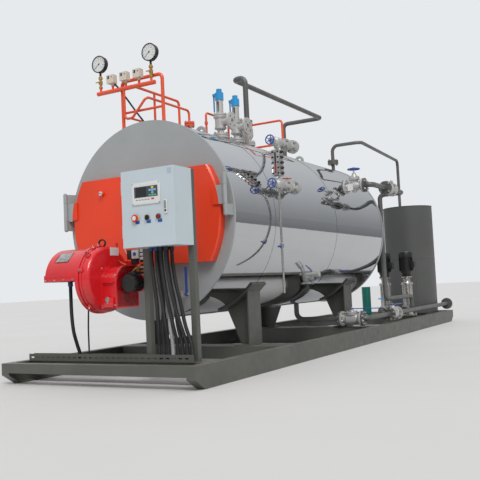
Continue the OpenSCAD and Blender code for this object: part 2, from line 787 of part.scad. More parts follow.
level_hub_d = 26;
level_front_flange = level_y + 180;
level_rear_flange = level_y + 340;
module level_connections() {
    color("gray") on_boiler() outside_jacket() {
        for (z = [level_top_z, level_low_z]) {
            flange([level_x, level_rear_flange, z], [0, -1, 0], level_flange_d, 20);
            bent_pipe([[level_x, level_rear_flange, z], [level_x, level_rear_flange + 110, z],
                       [300, level_rear_flange + 110, z]], 34, 50);
        }
    }
}

module level_cocks() {
    color("silver") on_boiler() for (z = [level_top_z, level_low_z]) {
        flange([level_x, level_rear_flange, z], [0, 1, 0], level_flange_d, 18);
        rod([level_x, level_rear_flange - 18, z], [level_x, level_front_flange - 40, z], 62);
        flange([level_x, level_front_flange - 40, z], [0, -1, 0], level_flange_d - 16, 16);
        rod([level_x, level_front_flange - 40, z], [level_x, level_y - 90, z], 44);
        rod([level_x, level_y - 90, z], [level_x, level_y - 152, z], level_hub_d / 2 - 2 * pin_fit);
    }
}

module level_gauge_glass() {
    color("silver") on_boiler() {
        translate([level_x - 44, level_y - 44, level_low_z + 85]) cube([88, 88, 250]);
        rod([level_x, level_y, level_low_z + 22], [level_x, level_y, level_low_z + 85], 34);
        rod([level_x, level_y, level_low_z + 335], [level_x, level_y, level_top_z - 22], 34);
        rod([level_x, level_y, level_low_z - 22], [level_x, level_y, 660], 22);
    }
}

module level_wheel(z) {
    aim([level_x, level_y - 130, z], [0, -1, 0]) handwheel(level_wheel_d, 12, level_hub_d, 16, 5);
}

module upper_cock_wheel() {
    color("royalblue") on_boiler() level_wheel(level_top_z);
}

module lower_cock_wheel() {
    color("royalblue") on_boiler() level_wheel(level_low_z);
}

feed_right = feed_x + feed_valve_len;
feed_mid = feed_x + feed_valve_len / 2;
module feed_valve() {
    color("silver") on_boiler() {
        flange([feed_x, feed_y, feed_z], [-1, 0, 0], inlet_flange_d, 20);
        flange([feed_right, feed_y, feed_z], [1, 0, 0], inlet_flange_d, 20);
        rod([feed_x, feed_y, feed_z], [feed_right, feed_y, feed_z], 80);
        translate([feed_mid, feed_y, feed_z]) sphere(d = 130);
        rod([feed_mid, feed_y, feed_z], [feed_mid, feed_y, feed_z + 130], 70);
        rod([feed_mid, feed_y, feed_z + 130], [feed_mid, feed_y, feed_z + 225], 20);
    }
}

module feed_valve_wheel() {
    color("royalblue") on_boiler() translate([feed_mid, feed_y, feed_z + 190])
        handwheel(feed_wheel_d, 16, 42, 22, 5);
}

feed_turn_x = feed_right + 100;
riser_x = 843;
riser_y = boiler_len + 100;
riser_low_z = 480;
header_y = pump_y - 100 - pump_valve_len - 50;
suction_y = pump_y + 180;
module feed_pipes() {
    color("gray") on_boiler() outside_jacket() {
        rod([300, feed_y, feed_z], [feed_x - 20, feed_y, feed_z], feed_d);
        flange([feed_x, feed_y, feed_z], [1, 0, 0], inlet_flange_d, 20);
        flange([feed_right, feed_y, feed_z], [-1, 0, 0], inlet_flange_d, 20);
        bent_pipe([[feed_right, feed_y, feed_z], [feed_turn_x, feed_y, feed_z], [feed_turn_x, riser_y, feed_z],
                   [riser_x, riser_y, feed_z], [riser_x, riser_y, riser_low_z], [riser_x, header_y, riser_low_z],
                   [riser_x, header_y, pump_port_z], [pump_x - pump_pitch, header_y, pump_port_z]], feed_d, 60);
        for (y = [3260, 3500]) rod([feed_turn_x, y, feed_z], [feed_turn_x, y + 44, feed_z], inlet_flange_d);
        rod([feed_turn_x, 3260, feed_z], [feed_turn_x, 3540, feed_z], 110);
        for (x = [pump_x - pump_pitch, pump_x]) {
            rod([x, header_y, pump_port_z], [x, header_y + 50, pump_port_z], pump_pipe_d);
            flange([x, header_y + 50, pump_port_z], [0, 1, 0], 110, 14);
            rod([x, suction_y, pump_port_z], [x, pump_y + 100, pump_port_z], pump_pipe_d);
            flange([x, pump_y + 100, pump_port_z], [0, -1, 0], 110, 14);
        }
        rod([pump_x - pump_pitch - 30, suction_y, pump_port_z], [pump_x + 30, suction_y, pump_port_z], pump_pipe_d + 9);
        difference() {
            rod([tank_x, suction_y, pump_port_z], [tank_x, tank_y, pump_port_z], pump_pipe_d);
            translate([tank_x, tank_y, 0]) cylinder(h = tank_h, r = tank_r + fit, $fn = 128);
        }
    }
}

module tank_shell() {
    color("dimgray") on_boiler() translate([tank_x, tank_y, beam_h + tank_wall]) difference() {
        cylinder(h = tank_h - 2 * tank_wall, r = tank_r, $fn = 128);
        translate([0, 0, -1]) cylinder(h = tank_h, r = tank_r - tank_wall, $fn = 128);
    }
}

module tank_lid() {
    color("dimgray") on_boiler() translate([tank_x, tank_y, beam_h + tank_h - tank_wall])
        cylinder(h = tank_wall, r = tank_r + 5, $fn = 128);
}

module tank_floor() {
    color("dimgray") on_boiler() translate([tank_x, tank_y, beam_h]) cylinder(h = tank_wall, r = tank_r + 5, $fn = 128);
}

vent_x = 300;
vent_y = 3735;
vent_flange_z = 2345;
module tank_vent_pipe() {
    color("gray") on_boiler() outside_jacket() {
        rod([vent_x, vent_y, vent_flange_z - 52], [vent_x, vent_y, vent_flange_z - 28], 140);
        rod([vent_x, vent_y, vent_flange_z - 24], [vent_x, vent_y, vent_flange_z], 140);
        bent_pipe([[vent_x, vent_y, jacket_top(vent_x) - 60], [vent_x, vent_y, 2540], [700, vent_y, 2540],
                   [460, 6060, 2610], [460, 6060, beam_h + tank_h]], 44, 80);
    }
}

module feed_pumps() {
    color("silver") on_boiler() for (x = [pump_x - pump_pitch, pump_x]) {
        translate([x - 100, pump_y - 90, beam_h]) cube([200, 180, 20]);
        rod([x, pump_y, beam_h + 20], [x, pump_y, beam_h + 150], 150);
        rod([x, pump_y - 86, pump_port_z], [x, pump_y + 86, pump_port_z], pump_pipe_d + 12);
        for (s = [-1, 1]) flange([x, pump_y + s * 100, pump_port_z], [0, s, 0], 110, 14);
        rod([x, pump_y, beam_h + 150], [x, pump_y, beam_h + 460], 128);
        rod([x, pump_y, beam_h + 460], [x, pump_y, beam_h + 480], 180);
        rod([x, pump_y, beam_h + 480], [x, pump_y, beam_h + 600], 100);
    }
}

pump_valve_y = pump_y - 100 - pump_valve_len / 2;
pump_wheel_z = pump_port_z + 170;
pump_hub_d = 32;
module pump_valves() {
    color("silver") on_boiler() for (x = [pump_x - pump_pitch, pump_x]) translate([x, pump_valve_y, pump_port_z]) {
        for (s = [-1, 1]) flange([0, s * pump_valve_len / 2, 0], [0, s, 0], 110, 14);
        rod([0, -pump_valve_len / 2, 0], [0, pump_valve_len / 2, 0], 56);
        sphere(d = 84);
        rod([0, 0, 0], [0, 0, 110], 46);
        rod([0, 0, 110], [0, 0, pump_wheel_z - pump_port_z + 24], pump_hub_d / 2 - 2 * pin_fit);
    }
}

module pump_wheel(x) {
    color("royalblue") on_boiler() translate([x, pump_valve_y, pump_wheel_z])
        handwheel(pump_wheel_d, 14, pump_hub_d, 18, 5);
}

module left_pump_wheel() {
    pump_wheel(pump_x - pump_pitch);
}

module right_pump_wheel() {
    pump_wheel(pump_x);
}

module pump_motors() {
    color("black") on_boiler() for (x = [pump_x - pump_pitch, pump_x])
        rod([x, pump_y, beam_h + 600], [x, pump_y, beam_h + pump_h], pump_motor_d);
}

module dosing_pump() {
    color("teal") on_boiler() {
        translate([-10, pump_y - 80, beam_h]) cube([160, 160, 30]);
        rod([70, pump_y, beam_h + 30], [70, pump_y, 630], 128);
    }
}

branch_left = 600;
branch_right = 860;
outlet_near = 3800;
outlet_far = 4090;
module blowdown_line() {
    color("dimgray") on_boiler() outside_jacket() {
        bent_pipe([[0, blow_y, axis_z - shell_r + 60], [0, blow_y, blow_z], [branch_left - 20, blow_y, blow_z]],
                  blow_d, 90);
        flange([branch_left, blow_y, blow_z], [1, 0, 0], blow_flange_d, 20);
        flange([branch_right, blow_y, blow_z], [-1, 0, 0], blow_flange_d, 20);
        bent_pipe([[branch_right, blow_y, blow_z], [blow_x, blow_y, blow_z], [blow_x, outlet_near, blow_z]],
                  blow_d, 60);
        flange([blow_x, outlet_near, blow_z], [0, 1, 0], blow_flange_d, 20);
        flange([blow_x, outlet_far, blow_z], [0, -1, 0], blow_flange_d, 20);
        rod([blow_x, outlet_far, blow_z], [blow_x, skid_end - 120, blow_z], blow_d);
        flange([blow_x, skid_end - 100, blow_z], [0, 1, 0], blow_flange_d, 20);
    }
}

// Flanged ball valve from p to q with its stem upward
module ball_valve(p, q, body_d) {
    v = unit(q - p);
    mid = (p + q) / 2;
    flange(p, -v, blow_flange_d, 20);
    flange(q, v, blow_flange_d, 20);
    rod(p, q, body_d - 30);
    rod(p + v * 60, q - v * 60, body_d);
    rod(mid, mid + [0, 0, body_d / 2 + 30], 70);
    rod(mid, mid + [0, 0, body_d / 2 + 62], 20);
}

module blowdown_valves() {
    color("silver") on_boiler() {
        ball_valve([branch_left, blow_y, blow_z], [branch_right, blow_y, blow_z], 140);
        ball_valve([blow_x, outlet_near, blow_z], [blow_x, outlet_far, blow_z], 140);
    }
}

// Flat lever on a stem of 20 mm, with its stem at the origin
module valve_lever(length) {
    difference() {
        union() {
            cylinder(h = 12, d = 44);
            translate([0, -16, 0]) cube([length, 32, 10]);
        }
        translate([0, 0, -1]) cylinder(h = 14, d = 20 + 2 * pin_fit);
    }
}

lever_z = blow_z + 70 + 40;
module branch_valve_lever() {
    color("royalblue") on_boiler()
        translate([(branch_left + branch_right) / 2, blow_y, lever_z]) valve_lever(370);
}

module outlet_valve_lever() {
    color("royalblue") on_boiler()
        translate([blow_x, (outlet_near + outlet_far) / 2, lever_z]) rotate([0, 0, 90]) valve_lever(370);
}

module drain_valves() {
    color("silver") on_boiler() {
        rod([400, 0, 700], [400, -50, 700], 34);
        rod([400, -50, 700], [400, -130, 700], 60);
        rod([400, -90, 700], [460, -90, 700], 18);
        rod([130, 0, 780], [130, -90, 780], 44);
        outside_jacket() rod([300, 1750, 830], [800, 1750, 830], 40);
        rod([800, 1750, 830], [880, 1750, 830], 60);
    }
}

module drain_lever() {
    color("royalblue") on_boiler() translate([440, -90, 700]) rotate([0, 90, 0]) rotate([0, 0, 180]) difference() {
        union() {
            cylinder(h = 12, d = 40);
            translate([0, -12, 0]) cube([230, 24, 10]);
        }
        translate([0, 0, -1]) cylinder(h = 14, d = 18 + 2 * pin_fit);
    }
}

left_skid_beam();
right_skid_beam();
front_skid_beam();
rear_skid_beam();
skid_cross_members();
front_saddle();
rear_saddle();
boiler_shell();
front_plate();
rear_plate();
left_smoke_door();
right_smoke_door();
door_hinges();
lifting_lugs();
burner_head();
burner_housing();
burner_control_box();
burner_fan_block();
burner_motor();
cabinet_box();
cabinet_door();
cabinet_controls();
cabinet_stand();
cable_tray();
control_cables();
gauge_manifold();
pressure_gauges();
gauge_cocks();
pressure_switches();
safety_valves();
safety_valve_caps();
front_lift_lever();
rear_lift_lever();
steam_outlet_valve();
steam_pipe();
level_connections();
level_cocks();
level_gauge_glass();
upper_cock_wheel();
lower_cock_wheel();
feed_valve();
feed_valve_wheel();
feed_pipes();
tank_shell();
tank_lid();
tank_floor();
tank_vent_pipe();
feed_pumps();
pump_motors();
pump_valves();
left_pump_wheel();
right_pump_wheel();
dosing_pump();
blowdown_line();
blowdown_valves();
branch_valve_lever();
outlet_valve_lever();
drain_valves();
drain_lever();
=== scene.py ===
"""Looks for a skid-mounted horizontal fire-tube steam boiler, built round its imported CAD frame."""
import math

import bpy
from mathutils import Matrix, Vector


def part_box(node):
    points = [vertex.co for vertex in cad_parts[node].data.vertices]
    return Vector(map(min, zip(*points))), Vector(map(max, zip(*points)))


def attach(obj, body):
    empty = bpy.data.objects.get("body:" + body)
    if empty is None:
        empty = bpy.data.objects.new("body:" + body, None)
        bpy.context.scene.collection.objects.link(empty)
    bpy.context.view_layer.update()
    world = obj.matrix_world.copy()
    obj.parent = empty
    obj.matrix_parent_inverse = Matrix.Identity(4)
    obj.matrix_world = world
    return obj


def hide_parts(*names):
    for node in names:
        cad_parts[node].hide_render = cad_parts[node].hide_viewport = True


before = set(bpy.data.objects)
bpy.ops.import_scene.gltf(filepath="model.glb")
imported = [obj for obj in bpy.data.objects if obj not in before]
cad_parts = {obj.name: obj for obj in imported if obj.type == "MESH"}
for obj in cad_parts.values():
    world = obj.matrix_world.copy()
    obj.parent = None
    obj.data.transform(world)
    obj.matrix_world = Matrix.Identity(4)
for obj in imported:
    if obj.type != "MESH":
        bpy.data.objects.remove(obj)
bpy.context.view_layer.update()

# Skid: two 180 mm channels with cross members, welded and painted dark grey-green.
# The enamel is semi-gloss and carries road dust, thicker where it lies on a flange.
# The saddles, the cabinet's stand and the cable tray are made of the same steel.
SKID_GREEN = (0.098, 0.100, 0.086)
DUST = (0.25, 0.215, 0.18)


def add_nodes(material):
    """Clears a material and returns its tree with a shader that is joined to the output."""
    material.use_nodes = True
    tree = material.node_tree
    tree.nodes.clear()
    output = tree.nodes.new("ShaderNodeOutputMaterial")
    shader = tree.nodes.new("ShaderNodeBsdfPrincipled")
    tree.links.new(shader.outputs["BSDF"], output.inputs["Surface"])
    return tree, shader


def cloud(tree, scale, detail=4.0, stretch=(1, 1, 1)):
    """Noise on the piece's own coordinates, in metres."""
    place = tree.nodes.new("ShaderNodeTexCoord")
    turn = tree.nodes.new("ShaderNodeMapping")
    turn.inputs["Scale"].default_value = stretch
    noise = tree.nodes.new("ShaderNodeTexNoise")
    noise.inputs["Scale"].default_value = scale
    noise.inputs["Detail"].default_value = detail
    tree.links.new(place.outputs["Object"], turn.inputs["Vector"])
    tree.links.new(turn.outputs["Vector"], noise.inputs["Vector"])
    return noise.outputs["Fac"]


def between(tree, value, low, high, out_low, out_high):
    """Spreads a value over a new range, and holds it at the ends."""
    spread = tree.nodes.new("ShaderNodeMapRange")
    for name, number in (("From Min", low), ("From Max", high), ("To Min", out_low), ("To Max", out_high)):
        spread.inputs[name].default_value = number
    tree.links.new(value, spread.inputs["Value"])
    return spread.outputs["Result"]


def product(tree, one, other):
    """One share times another."""
    times = tree.nodes.new("ShaderNodeMath")
    times.operation = "MULTIPLY"
    tree.links.new(one, times.inputs[0])
    tree.links.new(other, times.inputs[1])
    return times.outputs["Value"]


def blended(tree, share, first, second):
    """Goes with the share from the first colour, or from another node's, to the second."""
    mix = tree.nodes.new("ShaderNodeMix")
    mix.data_type = "RGBA"
    if isinstance(first, tuple):
        mix.inputs["A"].default_value = (*first, 1)
    else:
        tree.links.new(first, mix.inputs["A"])
    mix.inputs["B"].default_value = (*second, 1)
    tree.links.new(share, mix.inputs["Factor"])
    return mix.outputs["Result"]


def overlaid(material, share, colour):
    """Lays another colour over a finish, as far as the share says."""
    tree = material.node_tree
    base = tree.nodes["Principled BSDF"].inputs["Base Color"]
    tree.links.new(blended(tree, share, base.links[0].from_socket, colour), base)


def grain(tree, shader, scale, depth, stretch=(1, 1, 1)):
    """Fine relief of the surface, such as orange peel or a sand casting's skin."""
    bump = tree.nodes.new("ShaderNodeBump")
    bump.inputs["Strength"].default_value = 0.6
    bump.inputs["Distance"].default_value = depth
    tree.links.new(cloud(tree, scale, 2.0, stretch), bump.inputs["Height"])
    tree.links.new(bump.outputs["Normal"], shader.inputs["Normal"])


def finish_of(name, colour, roughness, metallic=0.0, shade=0.82, patch=3.0, peel=90.0, depth=0.0006,
              coat=0.0):
    """Painted, cast or plated surface with slow changes of tone and a fine relief."""
    material = bpy.data.materials.new(name)
    tree, shader = add_nodes(material)
    shader.inputs["Metallic"].default_value = metallic
    shader.inputs["Coat Weight"].default_value = coat
    shader.inputs["Coat Roughness"].default_value = 0.08
    tone = between(tree, cloud(tree, patch), 0.35, 0.68, 0.0, 1.0)
    darker = tuple(c * shade for c in colour)
    tree.links.new(blended(tree, tone, colour, darker), shader.inputs["Base Color"])
    rough = between(tree, cloud(tree, patch * 4), 0.3, 0.7, roughness * 0.85, min(1.0, roughness * 1.2))
    tree.links.new(rough, shader.inputs["Roughness"])
    grain(tree, shader, peel, depth)
    return material


def dusty(name, colour, roughness, dust_share=0.55):
    """Enamel with dust that lies on the faces that look up."""
    material = finish_of(name, colour, roughness)
    tree = material.node_tree
    normal = tree.nodes.new("ShaderNodeNewGeometry")
    upward = tree.nodes.new("ShaderNodeSeparateXYZ")
    tree.links.new(normal.outputs["Normal"], upward.inputs["Vector"])
    flat = between(tree, upward.outputs["Z"], 0.5, 1.0, 0.0, dust_share)
    patchy = between(tree, cloud(tree, 6.0), 0.3, 0.65, 0.25, 1.0)
    overlaid(material, product(tree, flat, patchy), DUST)
    return material


def coated(piece, material):
    """Gives a piece one finish all over."""
    piece.data.materials.clear()
    piece.data.materials.append(material)
    return piece


def dress(material, *nodes):
    """Gives CAD nodes a finish."""
    for node in nodes:
        coated(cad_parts[node], material)


skid_enamel = dusty("skid_enamel", SKID_GREEN, 0.42)
dress(skid_enamel, "left_skid_beam", "right_skid_beam", "front_skid_beam", "rear_skid_beam",
      "skid_cross_members", "front_saddle", "rear_saddle", "cabinet_stand", "cable_tray")

# Bolts: zinc-plated hexagon nuts on washers, with the stud's end standing out.
# One is modelled across 24 mm flats, and every ring of nuts is made of copies of it.
ZINC = (0.50, 0.49, 0.46)
NUT_FLATS = 24
FLATS_TO_CORNERS = 1.155
LEFT, RIGHT = (-1, 0, 0), (1, 0, 0)
FRONT, BACK = (0, -1, 0), (0, 1, 0)
DOWN, UP = (0, 0, -1), (0, 0, 1)
PLATE_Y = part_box("front_plate")[0].y
zinc_plate = finish_of("zinc_plate", ZINC, 0.38, metallic=0.85, shade=0.7, patch=20.0)
# Dark steel for small dark parts; the same finish is also painted shade on the discs that stand in holes and
# bores.
dark_steel_and_hole_shade = finish_of("dark_steel_and_hole_shade", (0.020, 0.020, 0.020), 0.6, metallic=0.3)


def at(x, y, z):
    """Point in metres from one in millimetres from the axis, the front plate's face and the floor."""
    return Vector((x, y, z)) / 1000 + Vector((0, PLATE_Y, 0))


def alone(piece=None):
    """Leaves at most the piece selected, so that the next operator acts on nothing else."""
    if bpy.context.object and bpy.context.object.mode != "OBJECT":
        bpy.ops.object.mode_set(mode="OBJECT")
    bpy.ops.object.select_all(action="DESELECT")
    if piece:
        piece.select_set(True)
        bpy.context.view_layer.objects.active = piece


def settled(piece, name, material, smooth=35):
    """Puts a piece's place into its mesh, points its faces outwards and gives it a name and a finish."""
    alone(piece)
    bpy.ops.object.transform_apply(location=True, rotation=True, scale=True)
    bpy.ops.object.mode_set(mode="EDIT")
    bpy.ops.mesh.select_all(action="SELECT")
    bpy.ops.mesh.normals_make_consistent(inside=False)
    bpy.ops.object.mode_set(mode="OBJECT")
    bpy.ops.object.shade_smooth_by_angle(angle=math.radians(smooth))
    piece.name = name
    piece.data.name = name
    return coated(piece, material)


def facing(axis):
    """Turn that brings +Z to the axis."""
    return Vector(axis).to_track_quat("Z", "Y").to_matrix().to_4x4()


def turned(name, material, place, axis, rings, sides=28):
    """Round body: a disc that is extruded and resized ring by ring, each as (radius, distance) in mm."""
    alone()
    along = Vector(axis).normalized()
    first, start = rings[0]
    bpy.ops.mesh.primitive_circle_add(vertices=sides, radius=first / 1000, fill_type="NGON",
                                      location=place + along * start / 1000, rotation=facing(axis).to_euler())
    piece = bpy.context.object
    bpy.ops.object.mode_set(mode="EDIT")
    bpy.ops.mesh.select_all(action="SELECT")
    for (wide, low), (next_wide, high) in zip(rings, rings[1:]):
        bpy.ops.mesh.extrude_region_move(TRANSFORM_OT_translate={"value": along * (high - low) / 1000})
        bpy.ops.transform.resize(value=(next_wide / wide,) * 3, center_override=place + along * high / 1000)
    return settled(piece, name, material)


def joined(pieces, name):
    """One piece from several of the same finish."""
    alone()
    for piece in pieces:
        piece.select_set(True)
    bpy.context.view_layer.objects.active = pieces[0]
    bpy.ops.object.join()
    pieces[0].name = name
    pieces[0].data.name = name
    return pieces[0]


def copied(piece, turn):
    """Copy of a piece with its own mesh, moved by the matrix."""
    twin = piece.copy()
    twin.data = piece.data.copy()
    twin.data.transform(turn)
    bpy.context.collection.objects.link(twin)
    return twin


def fixed(*pieces):
    """Fixes pieces to the boiler, which doesn't move."""
    for piece in pieces:
        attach(piece, "boiler")


def nut_pattern():
    """Washer, hexagon nut and stud end, looking up +Z with the flange at the origin."""
    washer = turned("washer", zinc_plate, Vector(), UP, [(16, 0), (16, 2), (15.5, 3), (9, 3)], 16)
    corners = NUT_FLATS / 2 * FLATS_TO_CORNERS
    nut = turned("nut", zinc_plate, Vector(), UP, [(corners, 2.5), (corners, 13), (11.5, 16), (9, 16)], 6)
    stud = turned("stud", zinc_plate, Vector(), UP, [(8, 15), (8, 21), (6.5, 22.5)], 12)
    return joined([washer, nut, stud], "nut_pattern")


nut_model = nut_pattern()


def nuts(name, centre, axis, radius, count, flats=24, start=45.0, material=zinc_plate):
    """Ring of nuts round the axis on a flange's face, as one piece."""
    size = flats / NUT_FLATS
    ring = []
    for i in range(count):
        around = Matrix.Rotation(math.radians(start + i * 360 / count), 4, "Z")
        spot = Matrix.Translation((radius / 1000, 0, 0)) @ Matrix.Scale(size, 4)
        ring.append(copied(nut_model, Matrix.Translation(centre) @ facing(axis) @ around @ spot))
    fixed(coated(joined(ring, name), material))


def lone_nut(name, place, axis, flats, material=zinc_plate):
    """Single nut or hexagon screw, which stands at its place but for a hundredth of a millimetre."""
    nuts(name, place, axis, 0.01, 1, flats, material=material)


def flange_nuts(name, low_face, high_face, axis, radius, count, flats=24):
    """Nuts on both outer faces of a flange pair of the boiler's own pipework."""
    nuts(name + "_low", at(*low_face), [-part for part in axis], radius, count, flats)
    nuts(name + "_high", at(*high_face), axis, radius, count, flats)


# Boiler: a steel drum with mineral wool on it, inside a jacket of mirror-polished stainless
# sheet. The jacket's sheets are rolled, lapped and riveted, and the end plates are painted grey.
MIRROR = (0.56, 0.57, 0.59)
PLATE_GREY = (0.335, 0.350, 0.350)
AXIS_Z = 1375
JACKET_R = 893
SEAM_PLACES = (800, 2300)
SEAM_WIDTH = 40
SHEET = 1.6
SEAM_RIVETS = 44
mirror_sheet = finish_of("mirror_sheet", MIRROR, 0.045, metallic=1.0, shade=0.97, peel=5.0, depth=0.0006)
plate_enamel = finish_of("plate_enamel", PLATE_GREY, 0.46, shade=0.93)
dress(mirror_sheet, "boiler_shell")
dress(plate_enamel, "front_plate", "rear_plate", "door_hinges", "lifting_lugs")


def lap_seam(name, y):
    """Strip round the jacket: an open ring of sheet."""
    alone()
    bpy.ops.mesh.primitive_cylinder_add(vertices=160, radius=(JACKET_R + 0.6) / 1000, depth=SEAM_WIDTH / 1000,
                                        end_fill_type="NOTHING", location=at(0, y, AXIS_Z),
                                        rotation=(math.radians(90), 0, 0))
    strip = bpy.context.object
    bpy.ops.object.mode_set(mode="EDIT")
    bpy.ops.mesh.select_all(action="SELECT")
    bpy.ops.mesh.subdivide(number_cuts=1)
    bpy.ops.object.mode_set(mode="OBJECT")
    sheet = strip.modifiers.new("sheet", "SOLIDIFY")
    sheet.thickness = SHEET / 1000
    sheet.offset = 1.0
    bpy.ops.object.modifier_apply(modifier=sheet.name)
    fixed(settled(strip, name, mirror_sheet, 60))


for number, seam_y in enumerate(SEAM_PLACES):
    lap_seam(f"jacket_seam_{number}", seam_y)
rivet = turned("rivet", zinc_plate, Vector(), UP, [(4, 0), (4, 0.6), (2.6, 2.0), (0.8, 2.6)], 10)
seam_rivets = []
for seam_y in SEAM_PLACES:
    for step in range(SEAM_RIVETS):
        around = Matrix.Rotation(math.radians(step * 360 / SEAM_RIVETS), 4, "Y")
        on_sheet = Matrix.Translation((0, 0, (JACKET_R + SHEET) / 1000))
        seam_rivets.append(copied(rivet, Matrix.Translation(at(0, seam_y, AXIS_Z)) @ around @ on_sheet))
bpy.data.objects.remove(rivet)
fixed(joined(seam_rivets, "jacket_rivets"))


def flattened_ring(name, material, centre, radius, thick, flatten, upright=True, steps=(160, 8), smooth=60):
    """Ring of round rod, flattened along the boiler where it stands upright, or else from above."""
    alone()
    bpy.ops.mesh.primitive_torus_add(major_radius=radius / 1000, minor_radius=thick / 1000,
                                     major_segments=steps[0], minor_segments=steps[1], location=centre,
                                     rotation=(math.radians(90) if upright else 0, 0, 0))
    ring = bpy.context.object
    bpy.ops.object.mode_set(mode="EDIT")
    bpy.ops.mesh.select_all(action="SELECT")
    bpy.ops.transform.resize(value=flatten, center_override=centre)
    fixed(settled(ring, name, material, smooth))


for name, y in (("front_weld", 28), ("rear_weld", 3822)):
    flattened_ring(name, plate_enamel, at(0, y, AXIS_Z), JACKET_R + 1, 4.5, (1, 0.6, 1))

# Rear end: a bolted cover of thick plate and the flue outlet with its flange, painted grey.
# The cover has the doors' outline, and the outlet is rolled plate, open to the rear.
REAR_Y = 3850
COVER_R = 809
COVER_THICK = 30
COVER_HALF = 410
FLUE_Z = AXIS_Z + 480
FLUE_LONG = 148


def chamfered(name, material, low, high, edge=1.5, segments=1):
    """Block between two corners in mm, with its edges taken off."""
    alone()
    low, high = at(*low), at(*high)
    bpy.ops.mesh.primitive_cube_add(size=1, location=(low + high) / 2, scale=high - low)
    piece = bpy.context.object
    bpy.ops.object.transform_apply(location=False, rotation=False, scale=True)
    taken = piece.modifiers.new("edge", "BEVEL")
    taken.width = edge / 1000
    taken.segments = segments
    bpy.ops.object.modifier_apply(modifier=taken.name)
    return settled(piece, name, material)


def cut(piece, tool, operation="DIFFERENCE"):
    """Takes the tool's form out of a piece, or keeps only what lies in it."""
    alone(piece)
    saw = piece.modifiers.new("cut", "BOOLEAN")
    saw.operation = operation
    saw.object = tool
    bpy.ops.object.modifier_apply(modifier=saw.name)
    bpy.data.objects.remove(tool)
    bpy.ops.object.shade_smooth_by_angle(angle=math.radians(35))
    return piece


cover = cut(turned("rear_cover", plate_enamel, at(0, REAR_Y, AXIS_Z), BACK,
                   [(COVER_R, 0), (COVER_R, COVER_THICK - 3), (COVER_R - 3, COVER_THICK)], 160),
            chamfered("cover_band", plate_enamel, (-900, REAR_Y - 20, AXIS_Z - COVER_HALF),
                      (900, REAR_Y + 60, AXIS_Z + COVER_HALF)), "INTERSECT")
flue = turned("flue_outlet", plate_enamel, at(0, REAR_Y, FLUE_Z), BACK,
              [(220, 0), (220, FLUE_LONG), (260, FLUE_LONG + 0.2), (260, 160), (212, 160), (212, 32)], 96)
fixed(cover, flue)
for hand, side in (("left", -1), ("right", 1)):
    for row in range(5):
        lone_nut(f"rear_cover_nut_{hand}_{row}",
                 at(side * 620, REAR_Y + COVER_THICK, AXIS_Z - 340 + row * 170), BACK, 22)
for row in range(4):
    lone_nut(f"rear_cover_low_nut_{row}", at(-390 + row * 260, REAR_Y + COVER_THICK, AXIS_Z - 360), BACK, 22)
nuts("flue_flange_nuts", at(0, REAR_Y + FLUE_LONG, FLUE_Z), FRONT, 241, 12, 18, 15)

# Smoke-box doors: thick flat doors with rounded outer sides, in orange-red enamel.
# Each swings on two knuckles at the side of the front plate, and a rope seals it behind.
DOOR_ORANGE = (0.83, 0.052, 0.010)
DOOR_R = 809
HINGE_X = 878
HINGE_Y = -106
PIN_ENDS = (("foot", AXIS_Z - 34, DOWN), ("top", AXIS_Z + 308, UP))
door_enamel = finish_of("door_enamel", DOOR_ORANGE, 0.34, shade=0.88, patch=1.6, coat=0.2)


def grey_outside(material, radius):
    """Plate grey further from the boiler's axis than the radius, as on the doors' hinge knuckles."""
    tree = material.node_tree
    place = tree.nodes.new("ShaderNodeTexCoord")
    level = tree.nodes.new("ShaderNodeVectorMath")
    level.operation = "MULTIPLY_ADD"
    level.inputs[1].default_value = (1, 0, 1)
    level.inputs[2].default_value = (0, 0, -AXIS_Z / 1000)
    reach = tree.nodes.new("ShaderNodeVectorMath")
    reach.operation = "LENGTH"
    tree.links.new(place.outputs["Object"], level.inputs[0])
    tree.links.new(level.outputs["Vector"], reach.inputs[0])
    edge = radius / 1000
    overlaid(material, between(tree, reach.outputs["Value"], edge + 0.001, edge + 0.003, 0.0, 1.0),
             PLATE_GREY)


grey_outside(door_enamel, DOOR_R)
dress(door_enamel, "left_smoke_door", "right_smoke_door")
polished = finish_of("polished", (0.72, 0.71, 0.70), 0.12, metallic=1.0, shade=0.95)
knob = turned("door_knob", polished, at(-440, -102, AXIS_Z + 274), FRONT,
              [(9, -14), (14, -4), (20.5, -2), (22.6, 5), (22.6, 9), (20, 17), (14, 21.5), (5, 22.6)], 32)
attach(knob, "left_door")
for hand, side in (("left", -1), ("right", 1)):
    for end, z, way in PIN_ENDS:
        fixed(turned(f"hinge_pin_{hand}_{end}", plate_enamel, at(side * HINGE_X, HINGE_Y, z), way,
                     [(17, 0), (17, 3), (12, 7), (12, 9), (6, 12)], 20))

# Burner: cast aluminium fan housing and covers in bright red enamel, with a black motor.
# The housing's halves are held by screws in lugs, and the electrical box is screwed on.
BURNER_RED = (0.66, 0.010, 0.016)
BLACK_ENAMEL = (0.012, 0.012, 0.013)
CAST_GREY = (0.52, 0.515, 0.50)
BURNER_Z = 854
DRUM_Y = -572
DRUM_R = 282
DRUM_RIGHT = 16
burner_enamel = finish_of("burner_enamel", BURNER_RED, 0.28, shade=0.85, coat=0.5)
black_enamel = finish_of("black_enamel", BLACK_ENAMEL, 0.36)
casting = finish_of("casting", CAST_GREY, 0.45, metallic=0.35, shade=0.78, peel=220.0, depth=0.0012)
black_plastic = finish_of("black_plastic", (0.016, 0.016, 0.017), 0.5)
white_plastic = finish_of("white_plastic", (0.66, 0.66, 0.64), 0.4, shade=0.95)
blue_plastic = finish_of("blue_plastic", (0.010, 0.090, 0.40), 0.35, shade=0.85)
brass = finish_of("brass", (0.60, 0.40, 0.14), 0.3, metallic=1.0)
dress(burner_enamel, "burner_housing", "burner_control_box", "burner_fan_block")
dress(black_enamel, "burner_motor", "pump_motors", "pressure_gauges", "cabinet_controls")
